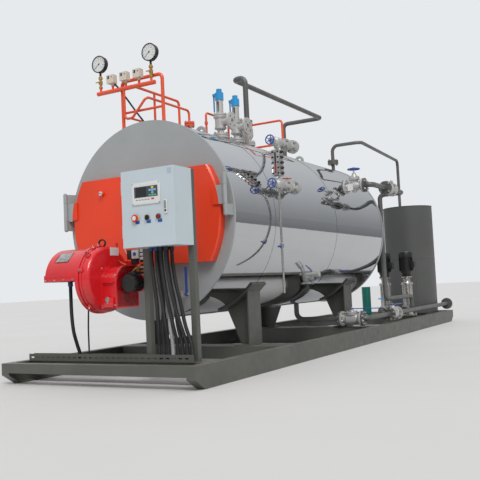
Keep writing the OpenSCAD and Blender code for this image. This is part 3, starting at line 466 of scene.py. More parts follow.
dress(casting, "burner_head", "safety_valves", "steam_outlet_valve", "level_cocks", "feed_valve",
      "pump_valves", "blowdown_valves", "drain_valves")


def stands_for(node, *pieces):
    """Joins shaped pieces of one finish into the fixed piece that is seen in a CAD node's place."""
    piece = joined(list(pieces), node + "_shaped")
    fixed(piece)
    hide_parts(node)


def turn_about(centre, degrees, axis):
    """Turn of so many degrees about an axis through a point."""
    turn = Matrix.Rotation(math.radians(degrees), 4, axis)
    return Matrix.Translation(centre) @ turn @ Matrix.Translation(-centre)


def spun(model, count, centre, step, axis):
    """Copies of a model round an axis, so many degrees apart, in the model's stead."""
    ring = [copied(model, turn_about(centre, number * step, axis)) for number in range(count)]
    bpy.data.objects.remove(model)
    return ring


def rod(name, material, place, axis, radius, length, sides):
    """Plain round bar or disc."""
    return turned(name, material, place, axis, [(radius, 0), (radius, length)], sides)


BOX_LEFT = -455
BOX_LOW = BURNER_Z - 6
BOX_TILT = 43
DRUM_LEFT = -120
drum_edge = [(DRUM_R - 44 + 34 * math.cos(math.radians(step)), 102 + 34 * math.sin(math.radians(step)))
             for step in range(15, 91, 15)]
stands_for("burner_housing",
           turned("drum", burner_enamel, at(DRUM_LEFT, DRUM_Y, BURNER_Z), RIGHT,
                  [(268, 0), (272, 4), (272, 6), (282, 6.2), (282, 42), (272, 42.2), (272, 52), (277, 52.2),
                   (277, 70), (272, 70.2), (272, 102)] + drum_edge + [(20, 136.2)], 96),
           chamfered("throat", burner_enamel, (DRUM_LEFT, DRUM_Y, BURNER_Z - 150),
                     (DRUM_RIGHT, DRUM_Y + 302, BURNER_Z + 150), 8, 2))
lid = cut(turned("lid", burner_enamel, at(BOX_LEFT, DRUM_Y, BURNER_Z), RIGHT,
                 [(262, 0), (267, 5), (267, 335)], 96),
          chamfered("lid_half", burner_enamel, (BOX_LEFT - 20, DRUM_Y - 300, BOX_LOW),
                    (DRUM_LEFT + 20, DRUM_Y + 300, 1200)),
          "INTERSECT")
recess = chamfered("recess", burner_enamel, (BOX_LEFT + 70, DRUM_Y - 62, BURNER_Z + DRUM_R - 24),
                   (BOX_LEFT + 225, DRUM_Y + 62, BURNER_Z + DRUM_R + 16), 4, 2)
axle = at(0, DRUM_Y, BURNER_Z)
recess.data.transform(turn_about(axle, BOX_TILT, "X"))
lip = chamfered("lip", burner_enamel, (BOX_LEFT, DRUM_Y - DRUM_R + 9, BOX_LOW),
                (DRUM_LEFT, DRUM_Y + DRUM_R - 9, BOX_LOW + 56), 4, 2)
stands_for("burner_control_box", cut(lid, recess), lip)


def rounded_block(name, material, low, high, radius):
    """Block with its upper front edge rounded, as on a casting's cover."""
    alone()
    low, high = at(*low), at(*high)
    bpy.ops.mesh.primitive_cube_add(size=1, location=(low + high) / 2, scale=high - low)
    piece = bpy.context.object
    bpy.ops.object.transform_apply(location=True, rotation=True, scale=True)
    front, top = low.y, high.z
    bpy.ops.object.mode_set(mode="EDIT")
    bpy.ops.mesh.select_mode(type="EDGE")
    bpy.ops.mesh.select_all(action="DESELECT")
    bpy.ops.object.mode_set(mode="OBJECT")
    spots = piece.data.vertices
    for line in piece.data.edges:
        line.select = all(abs(spots[i].co.y - front) < 0.0001 and abs(spots[i].co.z - top) < 0.0001
                          for i in line.vertices)
    bpy.ops.object.mode_set(mode="EDIT")
    bpy.ops.mesh.bevel(offset=radius / 1000, segments=14)
    return settled(piece, name, material)


BLOCK_BACK = -400
BLOCK_LOW = 614
BLOCK_TOP = 966
BLOCK_RIGHT = DRUM_RIGHT + 160
MOTOR = (255, -643, 810)
MOTOR_R = 71
MOTOR_LEN = 143
MOTOR_FINS = 24
stands_for("burner_fan_block",
           rounded_block("rim_left", burner_enamel, (DRUM_RIGHT, -690, BLOCK_LOW),
                         (DRUM_RIGHT + 24, BLOCK_BACK, BLOCK_TOP), 150),
           rounded_block("body", burner_enamel, (DRUM_RIGHT, -678, BLOCK_LOW + 12),
                         (BLOCK_RIGHT, BLOCK_BACK - 12, BLOCK_TOP - 12), 138),
           rounded_block("rim_right", burner_enamel, (BLOCK_RIGHT - 14, -690, BLOCK_LOW),
                         (BLOCK_RIGHT, BLOCK_BACK, BLOCK_TOP), 150),
           chamfered("boss", burner_enamel, (DRUM_RIGHT + 20, -700, BLOCK_LOW + 10),
                     (DRUM_RIGHT + 130, -670, BLOCK_LOW + 88), 5, 2),
           chamfered("rib", burner_enamel, (DRUM_RIGHT + 20, -700, BLOCK_LOW + 205),
                     (DRUM_RIGHT + 130, -670, BLOCK_LOW + 217), 3),
           chamfered("bracket", burner_enamel, (BLOCK_RIGHT - 8, MOTOR[1] + MOTOR_LEN, MOTOR[2] - 60),
                     (MOTOR[0], MOTOR[1] + MOTOR_LEN + 22, MOTOR[2] + 60), 3),
           rod("seat", burner_enamel, at(MOTOR[0], MOTOR[1] + MOTOR_LEN, MOTOR[2]), BACK, MOTOR_R, 22, 40))
motor_parts = [turned("frame", black_enamel, at(*MOTOR), BACK,
                      [(57, 0), (67, 8), (67, 44), (57, 46), (57, 129), (66, 129.2), (66, MOTOR_LEN)], 48),
               chamfered("terminals", black_enamel, (MOTOR[0] - 34, MOTOR[1] + 52, MOTOR[2] + 49),
                         (MOTOR[0] + 34, MOTOR[1] + 124, MOTOR[2] + 93), 4, 2)]
fin = chamfered("fin", black_enamel, (MOTOR[0] - 1.5, MOTOR[1] + 44, MOTOR[2] + 50),
                (MOTOR[0] + 1.5, MOTOR[1] + 131, MOTOR[2] + 66), 0.5)
stands_for("burner_motor", *motor_parts, *spun(fin, MOTOR_FINS, at(*MOTOR), 360 / MOTOR_FINS, "Y"))


def window_glass():
    """Smoked glass over a pale instrument face, for the burner's sight window."""
    material = bpy.data.materials.new("window_glass")
    tree, shader = add_nodes(material)
    bars = between(tree, cloud(tree, 30.0, 1.0, (1, 0.2, 3)), 0.4, 0.6, 0.0, 1.0)
    tree.links.new(blended(tree, bars, (0.30, 0.30, 0.28), (0.16, 0.16, 0.155)), shader.inputs["Base Color"])
    shader.inputs["Roughness"].default_value = 0.12
    shader.inputs["Coat Weight"].default_value = 1.0
    return material


smoked_glass = window_glass()
bezel_grey = finish_of("bezel_grey", (0.26, 0.26, 0.25), 0.4)


def on_lid(x, across, out):
    """Point on the electrical box's sloped lid: across it towards the front, and out of it."""
    back = math.radians(BOX_TILT)
    y = DRUM_Y + across * math.cos(back) - out * math.sin(back)
    z = BURNER_Z + across * math.sin(back) + out * math.cos(back)
    return at(x, y, z)


def lid_panel(name, material, x0, x1, a0, a1, low, high, inset=0.0, sink=0.0):
    """Plate that lies on the sloped lid, with its face inset and sunk where it is a frame."""
    alone()
    bpy.ops.mesh.primitive_cube_add(size=1, scale=((x1 - x0) / 1000, (a1 - a0) / 1000, (high - low) / 1000),
                                    rotation=(math.radians(BOX_TILT), 0, 0),
                                    location=on_lid((x0 + x1) / 2, (a0 + a1) / 2, (low + high) / 2))
    panel = bpy.context.object
    bpy.ops.object.transform_apply(location=True, rotation=True, scale=True)
    outward = on_lid(0, 0, 1000) - on_lid(0, 0, 0)
    for face in panel.data.polygons:
        face.select = face.normal.dot(outward) > 0.9
    bpy.ops.object.mode_set(mode="EDIT")
    bpy.ops.mesh.select_mode(type="FACE")
    if inset:
        bpy.ops.mesh.inset(thickness=inset / 1000, depth=-sink / 1000)
    else:
        bpy.ops.mesh.bevel(offset=0.001, segments=2)
    settled(panel, name, material)
    fixed(panel)
    return panel


lid_panel("burner_window_frame", bezel_grey, BOX_LEFT + 74, BOX_LEFT + 221, -58, 58, DRUM_R - 25,
          DRUM_R - 12, 9, 5)
lid_panel("burner_window", smoked_glass, BOX_LEFT + 82, BOX_LEFT + 213, -50, 50, DRUM_R - 24, DRUM_R - 16)
lid_panel("burner_lid_plate", white_plastic, BOX_LEFT + 90, BOX_LEFT + 170, -104, -80, DRUM_R - 46,
          DRUM_R - 44)
for number, x in enumerate((BOX_LEFT + 22, BOX_LEFT + 120, BOX_LEFT + 218, BOX_LEFT + 316)):
    lone_nut(f"burner_lid_screw_{number}", at(x, DRUM_Y - DRUM_R + 9, BURNER_Z + 8), FRONT, 11)


def drum_spot(angle, x, out=0.0):
    """Point on the fan drum's rim, by its angle from the front upwards."""
    turn = math.radians(angle)
    return at(x, DRUM_Y - (DRUM_R + out) * math.cos(turn), BURNER_Z + (DRUM_R + out) * math.sin(turn))


def drum_way(angle):
    """Direction out of the fan drum at an angle."""
    return (0, -math.cos(math.radians(angle)), math.sin(math.radians(angle)))


for number, angle in enumerate((-51, 16, 67, 80)):
    fixed(turned(f"drum_lug_{number}", burner_enamel, drum_spot(angle, -56, -6), drum_way(angle),
                 [(20, 0), (17, 12), (14, 15), (8, 15)], 20))
    lone_nut(f"drum_screw_{number}", drum_spot(angle, -56, 8), drum_way(angle), 13)
sight_tube = turned("burner_sight_tube", burner_enamel, drum_spot(46, -44, -8), drum_way(46),
                    [(26, 0), (24, 10), (19, 13), (19, 30), (14, 31)], 24)
# Painted shade: a dark disc closes the sight tube where its dark opening is.
sight_hole_shade = turned("burner_sight_shade", dark_steel_and_hole_shade, drum_spot(46, -44, 22.5), drum_way(46),
                    [(14, 0), (12, 1)], 20)
fixed(sight_tube, sight_hole_shade)
flattened_ring("burner_lifting_eye", dark_steel_and_hole_shade, drum_spot(89, -50, 18), 34, 8, (1, 1, 0.85), steps=(28, 10),
               smooth=35)
fixed(turned("burner_rear_post", burner_enamel, at(-2, -450, 1100), UP,
             [(9, 0), (9, 44), (13, 45), (13, 54), (9, 56)], 20))
fixed(chamfered("burner_plate", white_plastic, (DRUM_RIGHT, -560, 1049), (DRUM_RIGHT + 1.6, -450, 1115), 0.6))

BLOCK_FRONT = -700
sight_boss = turned("block_sight_boss", burner_enamel, at(90, BLOCK_FRONT + 2, 688), FRONT,
                    [(27, 0), (25, 5), (20, 6)], 28)
sight_ring = turned("block_sight_ring", zinc_plate, at(90, BLOCK_FRONT - 3, 688), FRONT,
                    [(21, 0), (21, 5), (18, 7), (15, 7), (14, 4), (5, 4)], 28)
sight_tip = chamfered("block_sight_tip", zinc_plate, (82, BLOCK_FRONT - 6, 650), (98, BLOCK_FRONT + 1, 670),
                      3)
fixed(sight_boss, sight_ring, sight_tip)
for number, (x, z) in enumerate(((34, 940), (34, 640), (160, 640), (168, 880))):
    lone_nut(f"block_screw_{number}", at(x, -690, z), FRONT, 12)

# Burner fittings: air-pressure switch, solenoid heads and brass oil fittings.
# They are screwed on beside the drum, behind the motor, with small brass tubes between them.
switch = chamfered("air_switch", black_plastic, (118, -470, 1008), (162, -410, 1086), 4, 2)
switch_cover = chamfered("air_switch_cover", white_plastic, (162, -466, 1012), (232, -414, 1084), 5, 2)
switch_dial = turned("air_switch_dial", blue_plastic, at(196, -466, 1050), FRONT, [(16, 0), (16, 4), (8, 5)],
                     20)
switch_foot = chamfered("air_switch_foot", dark_steel_and_hole_shade, (150, -460, 966), (210, -420, 1012), 3)
fixed(switch, switch_cover, switch_dial, switch_foot)
for number, z in enumerate((1000, 1032, 1064)):
    fixed(chamfered(f"solenoid_{number}", white_plastic, (244, -456, z), (272, -424, z + 24), 3))
fixed(chamfered("solenoid_rail", dark_steel_and_hole_shade, (228, -440, 980), (276, -424, 1092), 2))
for number, (x, z, way) in enumerate(((150, 950, RIGHT), (186, 934, RIGHT), (226, 948, FRONT),
                                      (214, 912, FRONT), (246, 908, RIGHT))):
    union = turned(f"oil_union_{number}", brass, at(x, -446, z), way,
                   [(7, -22), (7, -8), (12, -7), (12, 7), (8, 8), (8, 20), (6, 22)], 6 + 10 * (number % 2))
    fixed(union)
fixed(chamfered("oil_manifold", dark_steel_and_hole_shade, (126, -448, 884), (262, -412, 932), 4))


def thick_curve(name, width, roundness):
    """Empty curve of round section in the scene, with closed ends."""
    line = bpy.data.curves.new(name, "CURVE")
    line.dimensions = "3D"
    line.bevel_depth = width / 2000
    line.bevel_resolution = roundness
    line.use_fill_caps = True
    piece = bpy.data.objects.new(name, line)
    bpy.context.collection.objects.link(piece)
    return piece, line.splines


def tube_mesh(piece, name, material):
    """Makes a curve a mesh."""
    alone(piece)
    bpy.ops.object.convert(target="MESH")
    return settled(bpy.context.object, name, material, 60)


def round_line(name, material, points, width):
    """Small bent tube or fixed wire through points in mm, as a mesh."""
    piece, splines = thick_curve(name, width, 2)
    path = splines.new("BEZIER")
    path.bezier_points.add(len(points) - 1)
    for knot, point in zip(path.bezier_points, points):
        knot.co = at(*point)
        knot.handle_left_type = "AUTO"
        knot.handle_right_type = "AUTO"
    return tube_mesh(piece, name, material)


for number, (points, width) in enumerate((
    ([(150, -452, 934), (120, -470, 960), (60, -480, 990), (24, -470, 1010)], 8),
    ([(226, -462, 948), (232, -500, 930), (200, -520, 900), (176, -500, 880)], 8))):
    fixed(round_line(f"oil_line_{number}", brass, points, width))
fixed(round_line("switch_wire", white_plastic,
                 [(128, -440, 1050), (104, -446, 1058), (86, -448, 1090), (74, -446, 1126),
                  (60, -430, 1134)], 9))

# Fan motor: its sheet steel cowl is black, and clipped on the frame's front end.
# The cowl's face is a pressed grille of bars round a hub.
fixed(turned("motor_cowl_ring", black_enamel, at(*MOTOR), FRONT,
             [(MOTOR_R - 4, -6), (MOTOR_R - 2, 0), (MOTOR_R - 8, 3), (MOTOR_R - 16, 3)], 40))
GRILLE_BARS = 20
grille_grey = finish_of("grille_grey", (0.07, 0.07, 0.07), 0.4, metallic=0.5)
bar = chamfered("bar", grille_grey, (MOTOR[0] - 1.2, MOTOR[1] - 2.5, MOTOR[2] + 14),
                (MOTOR[0] + 1.2, MOTOR[1] - 0.5, MOTOR[2] + MOTOR_R - 14), 0.4)
fixed(joined(spun(bar, GRILLE_BARS, at(*MOTOR), 360 / GRILLE_BARS, "Y"), "motor_grille"))
fixed(turned("motor_grille_hub", black_enamel, at(*MOTOR), FRONT, [(15, 0), (15, 3), (10, 5), (4, 5)], 24))

# Control cabinet: folded sheet steel in pale grey-blue powder coat, on a stand of square tube.
# Its door swings on two pins on the left, and carries the operating panel, buttons and lock.
CABINET_GREY = (0.50, 0.57, 0.60)
CABINET_LEFT = 335
CABINET_LOW = 1080
CABINET_FACE = -780
PANEL = (CABINET_LEFT + 107, CABINET_LOW + 324, 268, 172)
BUTTON_X = CABINET_LEFT + 136
BUTTON_PITCH = 107
BUTTON_Z = CABINET_LOW + 223
LOCK = (CABINET_LEFT + 405, CABINET_LOW + 238)
cabinet_coat = finish_of("cabinet_coat", CABINET_GREY, 0.45, shade=0.96, peel=260.0, depth=0.0003)
dress(cabinet_coat, "cabinet_box", "cabinet_door")
screen_glass = finish_of("screen_glass", (0.008, 0.009, 0.011), 0.08, coat=1.0)
panel_dark = finish_of("panel_dark", (0.055, 0.065, 0.078), 0.4)


def on_door(*pieces):
    """Fixes pieces to the cabinet's door, so that they swing with it."""
    for piece in pieces:
        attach(piece, "cabinet_door")


def sunk(piece, way, rim, depth):
    """Insets the faces of a piece that look one way, and pushes what is inside the rim back."""
    way = Vector(way)
    for face in piece.data.polygons:
        face.select = face.normal.dot(way) > 0.95
    alone(piece)
    bpy.ops.object.mode_set(mode="EDIT")
    bpy.ops.mesh.select_mode(type="FACE")
    bpy.ops.mesh.inset(thickness=rim / 1000, depth=-depth / 1000)
    bpy.ops.object.mode_set(mode="OBJECT")
    return piece


left, low, wide, high = PANEL
hmi = chamfered("hmi_frame", white_plastic, (left, CABINET_FACE - 8, low),
                (left + wide, CABINET_FACE, low + high), 3, 2)
on_door(sunk(hmi, FRONT, 14, 2))
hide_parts("cabinet_controls")
on_door(chamfered("hmi_face", panel_dark, (left + 24, CABINET_FACE - 7.2, low + 56),
                  (left + wide - 22, CABINET_FACE - 5, low + high - 32), 0.5))
on_door(chamfered("hmi_screen", screen_glass, (left + 40, CABINET_FACE - 8, low + 60),
                  (left + 140, CABINET_FACE - 6, low + high - 38), 1))
KEY_COLOURS = {"yellow": (0.72, 0.55, 0.10), "blue": (0.20, 0.42, 0.62), "green": (0.10, 0.42, 0.22),
               "red": (0.62, 0.05, 0.05)}
key_finish = {name: finish_of(f"key_{name}", colour, 0.4) for name, colour in KEY_COLOURS.items()}
for number, (across, up, key_w, key_h, name) in enumerate((
    (186, 118, 22, 16, "yellow"), (162, 100, 22, 15, "blue"), (186, 98, 22, 17, "blue"),
    (210, 100, 22, 15, "blue"),
    (186, 78, 22, 16, "blue"), (162, 62, 20, 12, "green"), (188, 60, 20, 14, "green"),
    (212, 62, 20, 12, "green"),
    (184, 34, 28, 12, "red"))):
    key = chamfered(f"hmi_key_{number}", key_finish[name], (left + across, CABINET_FACE - 8.6, low + up),
                    (left + across + key_w, CABINET_FACE - 5.5, low + up + key_h), 1.2)
    on_door(key)
for number in range(5):
    key = chamfered(f"hmi_soft_key_{number}", bezel_grey,
                    (left + 36 + number * 28, CABINET_FACE - 7.2, low + 34),
                    (left + 56 + number * 28, CABINET_FACE - 5.5, low + 42), 0.8)
    on_door(key)
for number, (x, z) in enumerate(((8, 8), (wide - 8, 8), (8, high - 8), (wide - 8, high - 8))):
    screw = turned(f"hmi_screw_{number}", bezel_grey, at(left + x, CABINET_FACE - 8, low + z), FRONT,
                   [(5, 0), (5, 1), (3.4, 2.2), (1, 2.4)], 14)
    on_door(screw)

red_plastic = finish_of("red_plastic", (0.62, 0.012, 0.012), 0.3, shade=0.85, coat=0.4)
dark_red_plastic = finish_of("dark_red_plastic", (0.20, 0.010, 0.012), 0.35)
yellow_plastic = finish_of("yellow_plastic", (0.74, 0.50, 0.03), 0.4)
for number in range(3):
    x = BUTTON_X + number * BUTTON_PITCH
    collar = turned(f"button_collar_{number}", bezel_grey if number else yellow_plastic,
                    at(x, CABINET_FACE, BUTTON_Z),
                    FRONT, [(25, 0), (25, 2), (22, 4), (16, 4)], 32)
    tag = chamfered(f"button_tag_{number}", blue_plastic, (x - 8, CABINET_FACE - 2, BUTTON_Z - 44),
                    (x + 32, CABINET_FACE, BUTTON_Z - 18), 0.8)
    on_door(collar, tag)
stop_head = turned("stop_button_head", red_plastic, at(BUTTON_X, CABINET_FACE, BUTTON_Z), FRONT,
                   [(16, 2), (16, 12), (30, 15), (31, 20), (27, 27), (15, 31), (3, 32)], 36)
stop_ring = turned("stop_button_ring", white_plastic, at(BUTTON_X, CABINET_FACE - 28, BUTTON_Z), FRONT,
                   [(19, -1), (18, 2), (15, 4.2), (12, 4.6)], 36)
selector = turned("selector_head", black_plastic, at(BUTTON_X + BUTTON_PITCH, CABINET_FACE, BUTTON_Z), FRONT,
                  [(19, 2), (20, 10), (18, 15), (6, 16)], 32)
grip = chamfered("selector_grip", black_plastic,
                 (BUTTON_X + BUTTON_PITCH - 5, CABINET_FACE - 28, BUTTON_Z - 17),
                 (BUTTON_X + BUTTON_PITCH + 5, CABINET_FACE - 10, BUTTON_Z + 17), 3, 2)
mark = chamfered("selector_mark", yellow_plastic,
                 (BUTTON_X + BUTTON_PITCH - 16, CABINET_FACE - 17.5, BUTTON_Z + 2),
                 (BUTTON_X + BUTTON_PITCH - 6, CABINET_FACE - 15.5, BUTTON_Z + 12), 0.4)
lamp = turned("alarm_lamp_head", dark_red_plastic, at(BUTTON_X + 2 * BUTTON_PITCH, CABINET_FACE, BUTTON_Z),
              FRONT,
              [(18, 2), (19, 12), (17, 17), (10, 20), (2, 21)], 32)
on_door(stop_head, stop_ring, selector, grip, mark, lamp)
lock_x, lock_z = LOCK
lock_plate = chamfered("lock_plate", white_plastic, (lock_x, CABINET_FACE - 9, lock_z),
                       (lock_x + 30, CABINET_FACE, lock_z + 108), 6, 3)
lock_grip = chamfered("lock_grip", bezel_grey, (lock_x + 7, CABINET_FACE - 14, lock_z + 40),
                      (lock_x + 23, CABINET_FACE - 8, lock_z + 100), 4, 3)
keyhole = turned("lock_keyhole", dark_steel_and_hole_shade, at(lock_x + 15, CABINET_FACE - 9, lock_z + 24), FRONT,
                 [(9, 0), (9, 1.5), (6, 2.5), (4, 1)], 20)
label = chamfered("cabinet_label", finish_of("label_blue", (0.40, 0.50, 0.58), 0.4),
                  (CABINET_LEFT + 442, CABINET_FACE - 0.8, CABINET_LOW + 540),
                  (CABINET_LEFT + 482, CABINET_FACE, CABINET_LOW + 584), 0.3)
on_door(lock_plate, lock_grip, keyhole, label)

# Conduits: black corrugated plastic tubes from the cabinet's floor down to the cable tray.
# They hang in slow curves from compression glands, with two more from the burner.
GLAND_LOW = CABINET_LOW - 14
CORD_STEPS = 12
conduit_black = finish_of("conduit_black", (0.014, 0.014, 0.015), 0.5)
gland_blue = finish_of("gland_blue", (0.018, 0.055, 0.20), 0.45)


def ribbed(material, pitch, depth):
    """Adds rings across a hose that runs downwards, by the height."""
    tree = material.node_tree
    shader = tree.nodes["Principled BSDF"]
    place = tree.nodes.new("ShaderNodeTexCoord")
    wave = tree.nodes.new("ShaderNodeTexWave")
    wave.bands_direction = "Z"
    wave.inputs["Scale"].default_value = 0.314 / pitch
    tree.links.new(place.outputs["Object"], wave.inputs["Vector"])
    bump = tree.nodes.new("ShaderNodeBump")
    bump.inputs["Distance"].default_value = depth
    bump.inputs["Strength"].default_value = 0.8
    tree.links.new(wave.outputs["Fac"], bump.inputs["Height"])
    tree.links.new(bump.outputs["Normal"], shader.inputs["Normal"])
    return material


ribbed(conduit_black, 0.006, 0.002)


def smooth_route(knots):
    """Points of a smooth line through the knots in mm, with a straight start."""
    knots = [at(*knot) for knot in knots]
    ends = [2 * knots[0] - knots[1]] + knots + [2 * knots[-1] - knots[-2]]
    route = []
    for a, b, c, d in zip(ends, ends[1:], ends[2:], ends[3:]):
        for step in range(CORD_STEPS):
            t = step / CORD_STEPS
            route.append(0.5 * ((2 * b) + (c - a) * t + (2 * a - 5 * b + 4 * c - d) * t * t
                                + (3 * b - a - 3 * c + d) * t * t * t))
    return route + [knots[-1]]


def straight_path(splines, route):
    """Lays a curve straight from point to point of a route."""
    path = splines.new("POLY")
    path.points.add(len(route) - 1)
    for knot, point in zip(path.points, route):
        knot.co = (*point, 1)


def hung_cord(name, material, knots, width, **facts):
    """Cord as a round curve along a smooth route."""
    route = smooth_route(knots)
    piece, splines = thick_curve(name, width, 4)
    straight_path(splines, route)
    piece.data.materials.append(material)
    fixed(piece)
    return piece


conduit_pale = ribbed(finish_of("conduit_pale", (0.46, 0.45, 0.44), 0.5), 0.006, 0.002)
for i in range(8):
    x = 510 + 23 * i
    y = -655 if i % 2 == 0 else -605
    conduit = hung_cord(f"conduit_{i}", conduit_pale if i == 3 else conduit_black,
                        [(x, y, GLAND_LOW), (x + 1, y, 960), (x + 8 + i, y + 10, 800),
                         (x + 18 + i * 4, y + 20, 640),
                         (x + 8 + i * 12, -600 + (y + 600) / 4, 470), (x - 18 + i * 20, -576, 330),
                         (x - 26 + i * 22, -570, 240), (x - 28 + i * 22, -570, 200)],
                        30, far_end="object", stiffness="stiff", lay="hanging")
    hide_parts("control_cables")
    fixed(turned(f"cabinet_gland_{i}", gland_blue if i in (0, 2) else black_plastic,
                 at(x, y, GLAND_LOW - 14), UP,
                 [(17, 0), (20, 4), (20, 13), (17, 14), (19, 14.2), (19, 28)], 12))
burner_cable = hung_cord("burner_cable", conduit_black,
                         [(-300, -700, 848), (-300, -700, 700), (-304, -692, 560), (-318, -660, 430),
                          (-334, -606, 320),
                          (-340, -572, 250), (-340, -570, 200)], 30, far_end="object", stiffness="stiff",
                         lay="hanging")
thin_cable = hung_cord("burner_thin_cable", black_plastic,
                       [(-190, -610, 848), (-196, -606, 640), (-214, -596, 460), (-232, -576, 310),
                        (-236, -570, 200)],
                       14, far_end="object", stiffness="medium", lay="hanging")
for cable in (burner_cable, thin_cable):
    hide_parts("control_cables")
burner_gland = turned("burner_gland", gland_blue, at(-300, -700, 806), UP,
                      [(17, 0), (21, 6), (21, 41), (18, 42)], 12)
thin_gland = turned("burner_thin_gland", gland_blue, at(-190, -610, 822), UP,
                    [(9, 0), (12, 4), (12, 25), (10, 26)], 12)
fixed(burner_gland, thin_gland)

# Gauge manifold: small steel tube in orange-red enamel, with brass cocks and beige switches.
# Two dial gauges stand on its ends, and three pressure switches between them.
PIPE_ORANGE = (0.80, 0.085, 0.022)
SWITCH_BEIGE = (0.62, 0.55, 0.45)
MANIFOLD_Z = 2700
MANIFOLD_Y = 250
MANIFOLD_LEFT = -735
MANIFOLD_RIGHT = -40
pipe_enamel = finish_of("pipe_enamel", PIPE_ORANGE, 0.35, shade=0.88, coat=0.3)
switch_plastic = finish_of("switch_plastic", SWITCH_BEIGE, 0.5, shade=0.95)
dial_white = finish_of("dial_white", (0.80, 0.80, 0.78), 0.4, shade=0.98)
dial_ink = finish_of("dial_ink", (0.012, 0.012, 0.013), 0.5)
dress(pipe_enamel, "gauge_manifold")
dress(brass, "gauge_cocks")
dress(switch_plastic, "pressure_switches")


def clear_glass():
    """Thin clear cover: it shows what is behind it, and reflects a little more at its edges."""
    material = bpy.data.materials.new("clear_glass")
    material.use_nodes = True
    tree = material.node_tree
    tree.nodes.clear()
    output = tree.nodes.new("ShaderNodeOutputMaterial")
    clear = tree.nodes.new("ShaderNodeBsdfTransparent")
    shine = tree.nodes.new("ShaderNodeBsdfGlossy")
    shine.inputs["Roughness"].default_value = 0.04
    facing_share = tree.nodes.new("ShaderNodeLayerWeight")
    facing_share.inputs["Blend"].default_value = 0.12
    mix = tree.nodes.new("ShaderNodeMixShader")
    tree.links.new(between(tree, facing_share.outputs["Facing"], 0.0, 1.0, 0.03, 0.6), mix.inputs["Fac"])
    tree.links.new(clear.outputs["BSDF"], mix.inputs[1])
    tree.links.new(shine.outputs["BSDF"], mix.inputs[2])
    tree.links.new(mix.outputs["Shader"], output.inputs["Surface"])
    return material


cover_glass = clear_glass()
DIAL_Z = MANIFOLD_Z + 290
DIAL_Y = MANIFOLD_Y - 20


def dial_number(text, centre, size):
    """Plain number on a dial, as a mesh that looks at -Y."""
    alone()
    bpy.ops.object.text_add(location=(0, 0, 0))
    word = bpy.context.object
    word.data.body = text
    word.data.size = size / 1000
    word.data.align_x = "CENTER"
    word.data.align_y = "CENTER"
    word.data.extrude = 0.0002
    bpy.ops.object.convert(target="MESH")
    word = bpy.context.object
    word.data.transform(Matrix.Translation(centre) @ Matrix.Rotation(math.radians(90), 4, "X"))
    return word


GAUGE_PLACES = (MANIFOLD_LEFT + 40, MANIFOLD_RIGHT - 40)
cases = []
cocks = []
for x in GAUGE_PLACES:
    cases += [turned("case", black_enamel, at(x, MANIFOLD_Y + 26, DIAL_Z), FRONT,
                     [(77, 0), (82, 4), (82, 40), (85, 42), (85, 52), (79, 54), (76, 46), (4, 46)], 64),
              rod("socket", black_enamel, at(x, MANIFOLD_Y, MANIFOLD_Z + 172), UP, 11, 45, 16)]
    cocks += [turned("cock", brass, at(x, MANIFOLD_Y, MANIFOLD_Z + 50), UP,
                     [(19, 0), (19, 16), (13, 20), (13, 34), (20, 42), (20, 70), (13, 78), (13, 90),
                      (21, 92), (21, 112),
                      (14, 116), (14, 122)], 20),
              rod("stem", brass, at(x, MANIFOLD_Y, MANIFOLD_Z + 106), FRONT, 9, 34, 16),
              turned("tee", brass, at(x - 32, MANIFOLD_Y - 36, MANIFOLD_Z + 106), RIGHT,
                     [(5, 0), (6, 2), (6, 62), (5, 64)], 16)]
stands_for("pressure_gauges", *cases)
stands_for("gauge_cocks", *cocks)
for side, x in zip(("left", "right"), GAUGE_PLACES):
    centre = at(x, DIAL_Y - 1.5, DIAL_Z)
    face = rod(f"gauge_dial_{side}", dial_white, at(x, DIAL_Y, DIAL_Z), FRONT, 75, 1.5, 56)
    fixed(face)
    marks = []
    for step in range(41):
        long_mark = step % 5 == 0
        mark = chamfered("mark", dial_ink,
                         (x - (1.1 if long_mark else 0.6), DIAL_Y - 2.1, DIAL_Z + (56 if long_mark else 62)),
                         (x + (1.1 if long_mark else 0.6), DIAL_Y - 1.4, DIAL_Z + 69), 0.1)
        mark.data.transform(turn_about(centre, -135 + step * 6.75, "Y"))
        marks.append(mark)
    for step in range(9):
        turn = math.radians(-135 + step * 33.75)
        spot = centre + Vector((math.sin(turn) * 0.045, -0.0003, math.cos(turn) * 0.045))
        marks.append(dial_number(str(step * 2), spot, 13))
    fixed(coated(joined(marks, f"gauge_marks_{side}"), dial_ink))
    needle = chamfered(f"gauge_needle_{side}", dial_ink, (x - 1.6, DIAL_Y - 4.5, DIAL_Z - 18),
                       (x + 1.6, DIAL_Y - 3.2, DIAL_Z + 62), 0.5)
    needle.data.transform(turn_about(centre, -128, "Y"))
    boss = turned(f"gauge_boss_{side}", dial_ink, at(x, DIAL_Y - 1.5, DIAL_Z), FRONT,
                  [(8, 0), (8, 3.5), (5, 4.5)], 20)
    glass = rod(f"gauge_glass_{side}", cover_glass, at(x, DIAL_Y - 5, DIAL_Z), FRONT, 75.5, 1.5, 56)
    fixed(needle, boss, glass)
for number in range(3):
    x = MANIFOLD_LEFT + 190 + number * 160
    window = chamfered(f"switch_window_{number}", screen_glass, (x - 35, MANIFOLD_Y - 46, MANIFOLD_Z + 113),
                       (x - 7, MANIFOLD_Y - 44, MANIFOLD_Z + 141), 0.4)
    scale = chamfered(f"switch_scale_{number}", dial_white, (x - 31, MANIFOLD_Y - 46.6, MANIFOLD_Z + 118),
                      (x - 27, MANIFOLD_Y - 45.6, MANIFOLD_Z + 136), 0.2)
    screw = turned(f"switch_screw_{number}", dark_steel_and_hole_shade, at(x + 20, MANIFOLD_Y - 45, MANIFOLD_Z + 128), FRONT,
                   [(6, 0), (6, 1), (4, 1.8), (1, 1.8)], 16)
    union = turned(f"switch_union_{number}", brass, at(x, MANIFOLD_Y, MANIFOLD_Z + 48), UP,
                   [(17, 0), (17, 13), (14, 14)], 6)
    fixed(window, scale, screw, union)


